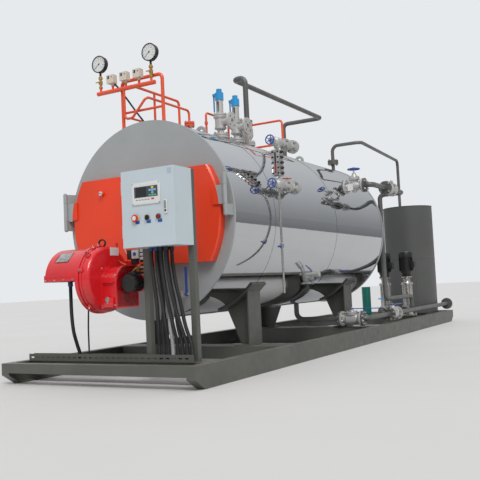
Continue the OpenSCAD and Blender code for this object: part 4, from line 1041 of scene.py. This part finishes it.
def bent_tube(name, material, corners, width, bend):
    """Straight tube with round bends at its corners in mm, as a mesh."""
    corners = [at(*corner) for corner in corners]
    route = [corners[0]]
    for before, corner, after in zip(corners, corners[1:], corners[2:]):
        start = corner + (before - corner).normalized() * bend / 1000
        end = corner + (after - corner).normalized() * bend / 1000
        for step in range(9):
            t = step / 8
            route.append(start * (1 - t) ** 2 + corner * 2 * t * (1 - t) + end * t ** 2)
    route.append(corners[-1])
    piece, splines = thick_curve(name, width, 5)
    straight_path(splines, route)
    return tube_mesh(piece, name, material)


IMPULSE_X = -200
IMPULSE_Z = 2640
impulse = bent_tube("impulse_pipe", pipe_enamel, [(IMPULSE_X, 1390, 2225), (IMPULSE_X, 1390, IMPULSE_Z),
                                                  (IMPULSE_X, 1865, IMPULSE_Z), (IMPULSE_X, 1865, 2225)], 24,
                    42)
union = turned("impulse_union", pipe_enamel, at(IMPULSE_X, 1390, IMPULSE_Z - 130), UP,
               [(15, 0), (18, 3), (18, 31), (15, 34)], 12)
loop = bent_tube("warming_loop", pipe_enamel,
                 [(30, 1950, 2557), (440, 1950, 2557), (440, 1950, 2293), (30, 1950, 2293)], 24, 42)
fixed(impulse, union, loop)
fixed(turned("switch_gland", gland_blue, at(-536, 262, 2775), (0.52, 0.42, -0.74),
             [(9, -6), (13, 0), (13, 22), (10, 24)], 12))
hung_cord("switch_cable", black_plastic,
          [(-524, 272, 2757), (-500, 291, 2722), (-440, 328, 2620), (-350, 340, 2490),
           (-261, 340, 2377), (-160, 335, 2264)], 18,
          far_end="object", stiffness="medium", lay="taut")
flange_nuts("siphon_nuts", (-147, 975, 2411), (-147, 975, 2455), UP, 39, 4, 18)

# Safety valves: grey castings with blue bonnet hoods and lift levers, on flanged stubs.
# Their outlets carry bare flanges, drilled for the discharge pipes.
HOOD_BLUE = (0.010, 0.300, 0.64)
WHEEL_BLUE = (0.018, 0.075, 0.36)
NOZZLE_Z = 2345
SAFETY_PLACES = (1354, 1696)
FLANGE_R = 82.5
hood_enamel = finish_of("hood_enamel", HOOD_BLUE, 0.35, shade=0.85, coat=0.3)
wheel_enamel = finish_of("wheel_enamel", WHEEL_BLUE, 0.35, shade=0.8, coat=0.3)
gasket_black = finish_of("gasket_black", (0.030, 0.028, 0.026), 0.8)
dress(hood_enamel, "safety_valve_caps", "front_lift_lever", "rear_lift_lever", "left_pump_wheel",
      "right_pump_wheel")
dress(wheel_enamel, "upper_cock_wheel", "lower_cock_wheel", "feed_valve_wheel", "branch_valve_lever",
      "outlet_valve_lever", "drain_lever")


def gasket(name, place, axis, radius, thick, material=gasket_black):
    """Ring of jointing sheet between two flanges."""
    fixed(rod(name, material, place, axis, radius, thick, 40))


def bolt_hole_shade(name, place, axis, radius, count, width, start=22.5):
    """Drilled holes of a bare flange, as dark discs flush with its face: painted shade where the holes are.
    """
    model = turned("hole", dark_steel_and_hole_shade, Vector(), UP, [(width / 2, -2), (width / 2, 0.3)], 16)
    out = Matrix.Translation((radius / 1000, 0, 0))
    holes = [copied(model,
                    Matrix.Translation(place) @ facing(axis) @ Matrix.Rotation(math.radians(turn), 4, "Z")
                    @ out)
             for turn in [start + i * 360 / count for i in range(count)]]
    bpy.data.objects.remove(model)
    fixed(joined(holes, name))


valve_parts = []
for y in SAFETY_PLACES:
    body = turned("body", casting, at(0, y, NOZZLE_Z), UP,
                  [(42, 2), (42, 26), (36, 40), (36, 64), (64, 80), (64, 96), (57, 100), (57, 184),
                   (71, 200), (71, 216),
                   (66, 220), (71, 224), (71, 238), (48, 240), (38, 250), (38, 390)], 36)
    cut(body, chamfered("slot", casting, (-15, y - 60, NOZZLE_Z + 258), (15, y + 60, NOZZLE_Z + 374), 13, 4))
    valve_parts += [
        body, rod("spindle", casting, at(0, y, NOZZLE_Z + 240), UP, 7, 150, 16),
        rod("stub", casting, at(0, y, 2250), UP, 45, 76, 32),
        rod("stub_flange", casting, at(0, y, NOZZLE_Z - 20), UP, FLANGE_R, 20, 40),
        rod("inlet_flange", casting, at(0, y, NOZZLE_Z + 4), UP, FLANGE_R, 22, 40),
        turned("outlet", casting, at(0, y, NOZZLE_Z + 148), RIGHT,
               [(46, 40), (42, 80), (42, 118), (54, 129)], 32),
        turned("outlet_flange", casting, at(0, y, NOZZLE_Z + 148), RIGHT,
               [(95, 128), (95, 150), (28, 150), (28, 85)], 40)]
stands_for("safety_valves", *valve_parts)
for side, y in zip(("front", "rear"), SAFETY_PLACES):
    flange_nuts(f"{side}_safety_inlet_nuts", (0, y, NOZZLE_Z - 20), (0, y, NOZZLE_Z + 26), UP, 63, 4, 24)
    gasket(f"{side}_safety_gasket", at(0, y, NOZZLE_Z), UP, 50, 4)
    # Painted shade: dark discs in the outlet flange's bolt holes.
    bolt_hole_shade(f"{side}_safety_outlet_hole_shade", at(150, y, NOZZLE_Z + 148), RIGHT, 62, 4, 18, 45)
    nuts(f"{side}_safety_bonnet_nuts", at(0, y, NOZZLE_Z + 238), UP, 59, 6, 18, 30)

# Steam outlet valve: a casting on the third flanged stub, with the steam pipe above it.
# Both joints are bolted, and the neck on its left is closed.
STEAM_Y = 1950
PIPE_GREY = (0.130, 0.130, 0.124)
pipe_grey = finish_of("pipe_grey", PIPE_GREY, 0.38, metallic=0.25, shade=0.75)
dress(pipe_grey, "steam_pipe", "tank_vent_pipe", "blowdown_line")
tube_silver = finish_of("tube_silver", (0.42, 0.42, 0.41), 0.4, metallic=0.5, shade=0.8)
dress(tube_silver, "level_connections")


def band_of(material, colour, low, high):
    """Another colour between two places along Y, in metres, for a casting in a line of pipe."""
    tree = material.node_tree
    place = tree.nodes.new("ShaderNodeTexCoord")
    parts = tree.nodes.new("ShaderNodeSeparateXYZ")
    tree.links.new(place.outputs["Object"], parts.inputs["Vector"])
    rise = between(tree, parts.outputs["Y"], low, low + 0.001, 0.0, 1.0)
    fall = between(tree, parts.outputs["Y"], high, high + 0.001, 1.0, 0.0)
    overlaid(material, product(tree, rise, fall), colour)


feed_grey = finish_of("feed_grey", PIPE_GREY, 0.4, metallic=0.25, shade=0.75)
band_of(feed_grey, CAST_GREY, PLATE_Y + 3.282, PLATE_Y + 3.522)
dress(feed_grey, "feed_pipes")
stands_for("steam_outlet_valve",
           rod("stub", casting, at(0, STEAM_Y, 2250), UP, 39, 86, 32),
           rod("stub_flange", casting, at(0, STEAM_Y, NOZZLE_Z - 20), UP, FLANGE_R, 20, 40),
           rod("inlet_flange", casting, at(0, STEAM_Y, NOZZLE_Z + 4), UP, FLANGE_R, 20, 40),
           turned("body", casting, at(0, STEAM_Y, NOZZLE_Z), UP,
                  [(36, 0), (36, 40), (52, 66), (64, 90), (64, 170), (52, 190), (34, 206), (34, 240)], 36),
           rod("top_flange", casting, at(0, STEAM_Y, NOZZLE_Z + 230), UP, 62.5, 20, 40),
           turned("side_neck", casting, at(0, STEAM_Y, NOZZLE_Z + 130), LEFT,
                  [(30, 20), (30, 80), (48, 80.2), (48, 96)], 32))
flange_nuts("steam_inlet_nuts", (0, STEAM_Y, NOZZLE_Z - 20), (0, STEAM_Y, NOZZLE_Z + 24), UP, 63, 4, 24)
flange_nuts("steam_top_nuts", (0, STEAM_Y, NOZZLE_Z + 230), (0, STEAM_Y, NOZZLE_Z + 270), UP, 48, 4, 18)
gasket("steam_gasket", at(0, STEAM_Y, NOZZLE_Z), UP, 50, 4)

# Level gauge: two gauge cocks on flanged side pipes, with a reflex gauge body between them.
# Its cover plates are held by rows of studs, and a drain tube hangs from the lower cock.
LEVEL_X = 945
LEVEL_Y = 770
LEVEL_TOP = 2068
LEVEL_LOW = 1668
GAUGE_MID = (LEVEL_TOP + LEVEL_LOW) / 2
barrel_steel = finish_of("barrel_steel", (0.60, 0.58, 0.56), 0.25, metallic=1.0, shade=0.8)
cock_parts = []
for z, way in ((LEVEL_TOP, -1), (LEVEL_LOW, 1)):
    cock_parts += [turned("cock", casting, at(LEVEL_X, LEVEL_Y + 340, z), FRONT,
                          [(65, 0), (65, 18), (38, 20), (30, 32), (30, 138), (57, 140), (57, 156), (51, 157),
                           (51, 159),
                           (57, 160), (57, 176), (38, 178), (30, 190), (30, 272), (44, 292), (44, 388),
                           (36, 396),
                           (26, 404), (26, 424), (32, 426), (32, 440), (20, 444), (20, 456), (12, 458),
                           (12, 466),
                           (6, 466.2), (6, 492)], 32),
                   turned("tail", casting, at(LEVEL_X, LEVEL_Y, z), (0, 0, way),
                          [(28, 0), (28, 56), (24, 60)], 24)]
stands_for("level_cocks", *cock_parts)
gauge_body = chamfered("gauge_body", barrel_steel, (LEVEL_X - 38, LEVEL_Y - 46, GAUGE_MID - 123),
                       (LEVEL_X + 38, LEVEL_Y + 46, GAUGE_MID + 123), 3, 2)
for way in (-1, 1):
    cut(gauge_body, chamfered("slot", barrel_steel, (LEVEL_X - 8, LEVEL_Y + way * 46 - 12, GAUGE_MID - 100),
                              (LEVEL_X + 8, LEVEL_Y + way * 46 + 12, GAUGE_MID + 100), 7, 3))
gauge_parts = [chamfered("strip", barrel_steel, (LEVEL_X + side * 39.5 - 1.5, LEVEL_Y - 24, GAUGE_MID - 115),
                         (LEVEL_X + side * 39.5 + 1.5, LEVEL_Y + 24, GAUGE_MID + 115), 0.5)
               for side in (-1, 1)]
gauge_parts += [rod("upper_pipe", barrel_steel, at(LEVEL_X, LEVEL_Y, GAUGE_MID + 120), UP, 17, 24, 24),
                rod("lower_pipe", barrel_steel, at(LEVEL_X, LEVEL_Y, GAUGE_MID - 120), DOWN, 17, 24, 24),
                turned("drain_tube", barrel_steel, at(LEVEL_X, LEVEL_Y, LEVEL_LOW - 44), DOWN,
                       [(18, 0), (18, 20), (11, 24), (11, 500), (19, 508), (19, 546), (11, 554), (11, 964)],
                       24)]
stands_for("level_gauge_glass", gauge_body, *gauge_parts)
for name, z in (("upper", LEVEL_TOP), ("lower", LEVEL_LOW)):
    nuts(f"{name}_cock_rear_nuts", at(LEVEL_X, LEVEL_Y + 340 - 18, z), FRONT, 50, 4, 22)
    nuts(f"{name}_cock_back_nuts", at(LEVEL_X, LEVEL_Y + 340 + 20, z), BACK, 50, 4, 22)
    nuts(f"{name}_cock_front_nuts", at(LEVEL_X, LEVEL_Y + 164, z), FRONT, 44, 4, 20)
    nuts(f"{name}_cock_mid_nuts", at(LEVEL_X, LEVEL_Y + 200, z), BACK, 44, 4, 20)
black_nut = finish_of("black_nut", (0.035, 0.034, 0.033), 0.5, metallic=0.4)
for way in (-1, 1):
    for column in (-1, 1):
        for row in range(5):
            lone_nut(f"level_nut_{(way + 1) // 2}{(column + 1) // 2}{row}",
                     at(LEVEL_X + column * 27, LEVEL_Y + way * 46, GAUGE_MID - 100 + row * 50), (0, way, 0),
                     14, black_nut)
for side in (-1, 1):
    for row in range(5):
        lone_nut(f"level_stud_{(side + 1) // 2}{row}",
                 at(LEVEL_X + side * 41, LEVEL_Y, GAUGE_MID - 100 + row * 50), (side, 0, 0), 24, black_nut)
for side, way in (("front", -1), ("back", 1)):
    glass = chamfered(f"level_glass_{side}", screen_glass,
                      (LEVEL_X - 7, LEVEL_Y + way * 41 - 1, GAUGE_MID - 92),
                      (LEVEL_X + 7, LEVEL_Y + way * 41 + 1, GAUGE_MID + 92), 0.5)
    water = chamfered(f"level_water_{side}", red_plastic,
                      (LEVEL_X - 4, LEVEL_Y + way * 42.5 - 0.8, GAUGE_MID - 90),
                      (LEVEL_X + 4, LEVEL_Y + way * 42.5 + 0.8, GAUGE_MID - 8), 0.4)
    fixed(glass, water)

stem = turned("lower_cock_stem", zinc_plate, at(LEVEL_X - 8, LEVEL_Y + 182, LEVEL_LOW + 50), UP,
              [(9, 0), (9, 26), (6, 28)], 16)
lever = chamfered("lower_cock_lever", red_plastic, (LEVEL_X - 46, LEVEL_Y + 174, LEVEL_LOW + 72),
                  (LEVEL_X + 10, LEVEL_Y + 190, LEVEL_LOW + 82), 3, 2)
lever_end = chamfered("lower_cock_lever_end", red_plastic, (LEVEL_X + 4, LEVEL_Y + 174, LEVEL_LOW + 64),
                      (LEVEL_X + 46, LEVEL_Y + 190, LEVEL_LOW + 74), 3, 2)
tap = turned("level_drain_tap", zinc_plate, at(LEVEL_X, LEVEL_Y, 1090), FRONT,
             [(12, 14), (12, 24), (6, 26), (6, 34)], 20)
tap_handle = chamfered("level_drain_handle", blue_plastic, (LEVEL_X - 26, LEVEL_Y - 40, 1082),
                       (LEVEL_X + 22, LEVEL_Y - 32, 1098), 4, 2)
fixed(stem, lever, lever_end, tap, tap_handle)

# Feed line: dark grey steel tube with welded elbows, and a gate valve and a check valve in it.
# Both valves are castings between flanges, and a paper tag hangs on the first one.
FEED_Y = 2800
FEED_Z = 1845
FEED_LEFT = 815
FEED_RIGHT = 1045
TURN_X = 1145
CHECK_Y = FEED_Y + 460
FEED_MID = (FEED_LEFT + FEED_RIGHT) / 2


def valve_nuts(name, ends, faces, line, along, radius, count, start=45.0):
    """Nuts on a valve's two flanged joints: the four faces lie at places along the line of the pipe."""
    joints = (f"{ends[0]}_out", f"{ends[0]}_in", f"{ends[1]}_in", f"{ends[1]}_out")
    for joint, place, way in zip(joints, faces, (-1, 1, -1, 1)):
        nuts(f"{name}_{joint}_nuts", line + Vector(along) * place / 1000, [part * way for part in along],
             radius, count, 22, start)


stands_for("feed_valve",
           turned("body", casting, at(FEED_LEFT, FEED_Y, FEED_Z), RIGHT,
                  [(44, 0), (44, 24), (38, 34), (46, 60), (58, 90), (60, 115), (58, 140), (46, 170),
                   (38, 196), (44, 206),
                   (44, 230)], 36),
           rod("left_flange", casting, at(FEED_LEFT, FEED_Y, FEED_Z), RIGHT, FLANGE_R, 20, 40),
           rod("right_flange", casting, at(FEED_RIGHT, FEED_Y, FEED_Z), LEFT, FLANGE_R, 20, 40),
           turned("belly", casting, at(FEED_MID, FEED_Y, FEED_Z - 74), UP, [(22, 0), (28, 6), (28, 74)], 28),
           turned("bonnet", casting, at(FEED_MID, FEED_Y, FEED_Z), UP,
                  [(44, 0), (44, 66), (64, 72), (64, 84), (60, 86), (64, 88), (64, 100), (40, 104),
                   (26, 138), (22, 152),
                   (10, 154), (10, 225)], 36))
check_belly = turned("check_valve_belly", casting, at(TURN_X, CHECK_Y + 44, FEED_Z), BACK,
                     [(55.5, 0), (56, 26), (66, 70), (66, 130), (56, 170), (55.5, 196)], 36)
check_cover = turned("check_valve_cover", casting, at(TURN_X, FEED_Y + 605, FEED_Z), UP,
                     [(42, 20), (42, 70), (58, 70.2), (58, 84)], 32)
fixed(check_belly, check_cover)
valve_nuts("feed", ("left", "right"), (FEED_LEFT - 20, FEED_LEFT + 20, FEED_RIGHT - 20, FEED_RIGHT + 20),
           at(0, FEED_Y, FEED_Z), RIGHT, 63, 4)
nuts("feed_bonnet_nuts", at((FEED_LEFT + FEED_RIGHT) / 2, FEED_Y, FEED_Z + 100), UP, 52, 6, 18, 30)
valve_nuts("check", ("front", "rear"), (CHECK_Y, CHECK_Y + 44, CHECK_Y + 240, CHECK_Y + 284),
           at(TURN_X, 0, FEED_Z), BACK, 66, 4)
feed_tag = chamfered("feed_valve_tag", white_plastic, (866, FEED_Y - 64, 1790), (934, FEED_Y - 62.5, 1866),
                     0.5)
tag_wire = round_line("feed_tag_wire", zinc_plate,
                      [(900, FEED_Y - 63, 1862), (906, FEED_Y - 60, 1890), (918, FEED_Y - 46, 1915)], 2)
fixed(feed_tag, tag_wire)
nuts("check_cover_nuts", at(TURN_X, FEED_Y + 605, FEED_Z + 84), UP, 47, 6, 16, 30)

# Vent: steel tube from a flanged stub at the rear of the drum over to the tank.
# Its flanges are bolted on a yellow gasket.
VENT = (300, 3735)
yellow_gasket = finish_of("yellow_gasket", (0.70, 0.50, 0.03), 0.7)
flange_nuts("vent_nuts", (*VENT, 2293), (*VENT, 2345), UP, 53, 4, 20)
gasket("vent_gasket", at(*VENT, 2317), UP, 64, 4, yellow_gasket)

# Water tank: steel sheet, rolled in two courses and welded, in dark grey enamel.
# Each course has an upright seam, and a girth seam joins the two.
TANK_GREY = (0.085, 0.087, 0.082)
TANK = (475, 6390)
TANK_R = 385
tank_enamel = finish_of("tank_enamel", TANK_GREY, 0.4, shade=0.85, patch=1.5)
dress(tank_enamel, "tank_shell", "tank_lid", "tank_floor")
for number, (angle, low, high) in enumerate(((-62, 190, 1030), (118, 1030, 1865))):
    turn = math.radians(angle)
    fixed(turned(f"tank_seam_{number}", tank_enamel,
                 at(TANK[0] + (TANK_R - 2) * math.cos(turn), TANK[1] + (TANK_R - 2) * math.sin(turn), low),
                 UP,
                 [(5, 0), (5, high - low)], 10))
flattened_ring("tank_girth_seam", tank_enamel, at(*TANK, 1030), TANK_R - 1, 5, (1, 1, 0.7), False, (96, 8))

# Pumps: vertical multistage pumps with a polished barrel, and a teal dosing pump.
# Tie rods clamp each barrel, and the black motors have a fan cowl on top.
PUMP_X = (376, 712)
PUMP_Y = 5350
PUMP_TOP = 1130
PUMP_VALVE_Y = 5190
DOSING_TEAL = (0.006, 0.150, 0.115)
dosing_enamel = finish_of("dosing_enamel", DOSING_TEAL, 0.35)
dress(dosing_enamel, "dosing_pump")
STOOL_TOP = 760
pump_parts = []
motor_parts = []
for x in PUMP_X:
    foot = at(x, PUMP_Y, 180)
    pump_parts += [
        turned("barrel", barrel_steel, foot, UP,
               [(80, 0), (80, 24), (62, 40), (62, 112), (88, 130), (88, 150), (64, 152), (64, 458),
                (90, 460), (90, 482),
                (60, 486), (52, 500), (52, 545), (70, 562), (78, 564), (78, 580)], 40),
        chamfered("foot", barrel_steel, (x - 100, PUMP_Y - 90, 180), (x + 100, PUMP_Y + 90, 200), 4),
        turned("ports", barrel_steel, at(x, PUMP_Y - 100, 270), BACK,
               [(55, 0), (55, 14), (30, 14.2), (30, 185.8), (55, 186), (55, 200)], 32)]
    for number in range(4):
        turn = math.radians(45 + 90 * number)
        pump_parts.append(turned("tie", barrel_steel,
                                 foot + Vector((0.078 * math.cos(turn), 0.078 * math.sin(turn), 0)),
                                 UP, [(6, 140), (6, 490)], 12))
    motor_parts += [
        turned("frame", black_enamel, at(x, PUMP_Y, STOOL_TOP), UP,
               [(78, 0), (78, 16), (64, 22), (91, 88), (91, 280), (105, 280.2), (105, 354), (99, 366),
                (91, 370)], 48),
        chamfered("terminals", black_enamel, (x + 75, PUMP_Y - 55, 880), (x + 135, PUMP_Y + 55, 980), 5, 2)]
    fin = chamfered("fin", black_enamel, (x + 85, PUMP_Y - 2, STOOL_TOP + 82),
                    (x + 101, PUMP_Y + 2, STOOL_TOP + 284), 0.6)
    motor_parts += spun(fin, MOTOR_FINS, at(x, PUMP_Y, 0), 360 / MOTOR_FINS, "Z")
    fixed(turned(f"pump_valve_bonnet_{x}", casting, at(x, PUMP_VALVE_Y, 308), UP,
                 [(28, 0), (44, 6), (44, 20), (26, 24)], 28))
stands_for("feed_pumps", *pump_parts)
stands_for("pump_motors", *motor_parts)
for name, x in zip(("left", "right"), PUMP_X):
    for number in range(4):
        turn = math.radians(45 + 90 * number)
        lone_nut(f"{name}_pump_tie_nut_{number}",
                 at(x + 78 * math.cos(turn), PUMP_Y + 78 * math.sin(turn), 662), UP, 19)
    fixed(turned(f"{name}_cowl_rim", bezel_grey, at(x, PUMP_Y, PUMP_TOP - 4), UP,
                 [(99, -6), (99.5, 0), (92, 3), (60, 3.5), (10, 3.5)], 40))
    lid = chamfered(f"{name}_motor_box_lid", black_enamel, (x + 132, PUMP_Y - 50, 886),
                    (x + 139, PUMP_Y + 50, 974), 2)
    fixed(lid)
    for side, way in (("front", -1), ("back", 1)):
        nuts(f"{name}_pump_{side}_nuts", at(x, PUMP_Y + way * 86, 270), (0, -way, 0), 42, 4, 16)
    nuts(f"{name}_pump_valve_nuts", at(x, PUMP_VALVE_Y, 270 + 58), UP, 36, 4, 14)
    for number, (dx, dy) in enumerate(((-84, -74), (84, -74), (-84, 74), (84, 74))):
        lone_nut(f"{name}_pump_foot_nut_{number}", at(x + dx, PUMP_Y + dy, 200), UP, 20)

# Blowdown line: dark steel tube from the drum's floor and along the right beam.
# Two ball valves are bolted in it, grey castings in three parts with a bonnet.
BLOW_Y = 3000
BLOW_Z = 290
BLOW_X = 925
BLOW_FLANGE_R = 90
BLOW_END = 6767


def ball_valve(low, way, span, flange):
    """Flanged ball valve of a length from its low face, with a round bonnet and its stem upward."""
    start = at(*low)
    middle = start + Vector(way) * span / 2000
    return [turned("body", casting, start, way,
                   [(55, 0), (55, 22), (46, 32), (46, 50), (62, 72), (62, span - 72), (46, span - 50),
                    (46, span - 32),
                    (55, span - 22), (55, span)], 36),
            rod("low_flange", casting, start, way, flange, 20, 40),
            turned("high_flange", casting, start, way, [(flange, span - 20), (flange, span)], 40),
            turned("bonnet", casting, middle, UP,
                   [(56, 0), (56, 42), (75, 46), (75, 60), (70, 61), (70, 63), (75, 64), (75, 78), (36, 82),
                    (30, 98),
                    (20, 104), (10, 104.2), (10, 132)], 36)]


BRANCH = (600, 860)
OUTLET = (3800, 4090)
BRANCH_MID = sum(BRANCH) / 2
OUTLET_MID = sum(OUTLET) / 2
stands_for("blowdown_valves",
           *ball_valve((BRANCH[0], BLOW_Y, BLOW_Z), RIGHT, BRANCH[1] - BRANCH[0], BLOW_FLANGE_R),
           *ball_valve((BLOW_X, OUTLET[0], BLOW_Z), BACK, OUTLET[1] - OUTLET[0], BLOW_FLANGE_R))
valve_nuts("branch", ("left", "right"), (BRANCH[0] - 20, BRANCH[0] + 20, BRANCH[1] - 20, BRANCH[1] + 20),
           at(0, BLOW_Y, BLOW_Z), RIGHT, 72, 8, 22.5)
valve_nuts("outlet", ("near", "far"), (OUTLET[0] - 20, OUTLET[0] + 20, OUTLET[1] - 20, OUTLET[1] + 20),
           at(BLOW_X, 0, BLOW_Z), BACK, 72, 8, 22.5)
nuts("branch_bonnet_nuts", at(BRANCH_MID, BLOW_Y, BLOW_Z + 78), UP, 63, 6, 16)
nuts("outlet_bonnet_nuts", at(BLOW_X, OUTLET_MID, BLOW_Z + 78), UP, 63, 6, 16)
# Painted shade: dark discs in the end flange's bolt holes and in its open bore.
bolt_hole_shade("blowdown_end_hole_shade", at(BLOW_X, BLOW_END, BLOW_Z), BACK, 72, 8, 18)
fixed(turned("blowdown_end_bore_shade", dark_steel_and_hole_shade, at(BLOW_X, BLOW_END, BLOW_Z), BACK, [(26, -2), (26, 0.3)], 32))
bpy.data.objects.remove(nut_model)

# Studio: pale floor, pale surroundings and one soft key light.
# The camera stands where the photograph was taken from.
FLOOR = (0.66, 0.64, 0.62)
BACKDROP = (0.80, 0.82, 0.84)
bpy.ops.mesh.primitive_plane_add(size=120, location=(0, 0, 0))
floor = bpy.context.object
floor.name = "floor"
floor.data.materials.append(finish_of("floor", FLOOR, 0.8, shade=0.97, patch=0.4))

world = bpy.data.worlds.new("studio")
bpy.context.scene.world = world
world.use_nodes = True
sky = world.node_tree
sky.nodes.clear()
lit = sky.nodes.new("ShaderNodeBackground")
lit.inputs["Color"].default_value = (0.92, 0.96, 1.0, 1)
lit.inputs["Strength"].default_value = 0.72
seen = sky.nodes.new("ShaderNodeBackground")
seen.inputs["Color"].default_value = (*BACKDROP, 1)
seen.inputs["Strength"].default_value = 1.0
mirrored = sky.nodes.new("ShaderNodeBackground")
mirrored.inputs["Color"].default_value = (*BACKDROP, 1)
way = sky.nodes.new("ShaderNodeTexCoord")
height = sky.nodes.new("ShaderNodeSeparateXYZ")
sky.links.new(way.outputs["Generated"], height.inputs["Vector"])
sky.links.new(between(sky, height.outputs["Z"], 0.0, 0.75, 0.30, 1.15), mirrored.inputs["Strength"])
rays = sky.nodes.new("ShaderNodeLightPath")
polished_mix = sky.nodes.new("ShaderNodeMixShader")
mix = sky.nodes.new("ShaderNodeMixShader")
out = sky.nodes.new("ShaderNodeOutputWorld")
sky.links.new(rays.outputs["Is Glossy Ray"], polished_mix.inputs["Fac"])
sky.links.new(lit.outputs["Background"], polished_mix.inputs[1])
sky.links.new(mirrored.outputs["Background"], polished_mix.inputs[2])
sky.links.new(rays.outputs["Is Camera Ray"], mix.inputs["Fac"])
sky.links.new(polished_mix.outputs["Shader"], mix.inputs[1])
sky.links.new(seen.outputs["Background"], mix.inputs[2])
sky.links.new(mix.outputs["Shader"], out.inputs["Surface"])

bpy.ops.object.light_add(type="SUN", location=(0, 0, 8),
                         rotation=(math.radians(42), math.radians(14), math.radians(25)))
key = bpy.context.object
key.data.energy = 1.7
key.data.angle = math.radians(25)

CAMERA_PLACE = Vector((3.925, -8.275, 0.755))
CAMERA_YAW, CAMERA_PITCH, CAMERA_ROLL = math.radians(29.58), math.radians(3.52), math.radians(-2.75)
FOCAL_PIXELS, IMAGE_PIXELS, SENSOR_MM = 727.4, 480, 36.0
look = Vector((-math.sin(CAMERA_YAW) * math.cos(CAMERA_PITCH), math.cos(CAMERA_YAW) * math.cos(CAMERA_PITCH),
               math.sin(CAMERA_PITCH)))
level_right = Vector((math.cos(CAMERA_YAW), math.sin(CAMERA_YAW), 0))
level_up = level_right.cross(look)
right = level_right * math.cos(CAMERA_ROLL) + level_up * math.sin(CAMERA_ROLL)
up = level_up * math.cos(CAMERA_ROLL) - level_right * math.sin(CAMERA_ROLL)
bpy.ops.object.camera_add(location=CAMERA_PLACE)
camera = bpy.context.object
camera.data.sensor_width = SENSOR_MM
camera.data.lens = FOCAL_PIXELS / IMAGE_PIXELS * SENSOR_MM
camera.matrix_world = Matrix.Translation(CAMERA_PLACE) @ Matrix((right, up, -look)).transposed().to_4x4()
bpy.context.scene.camera = camera
bpy.context.scene.view_settings.view_transform = "Standard"
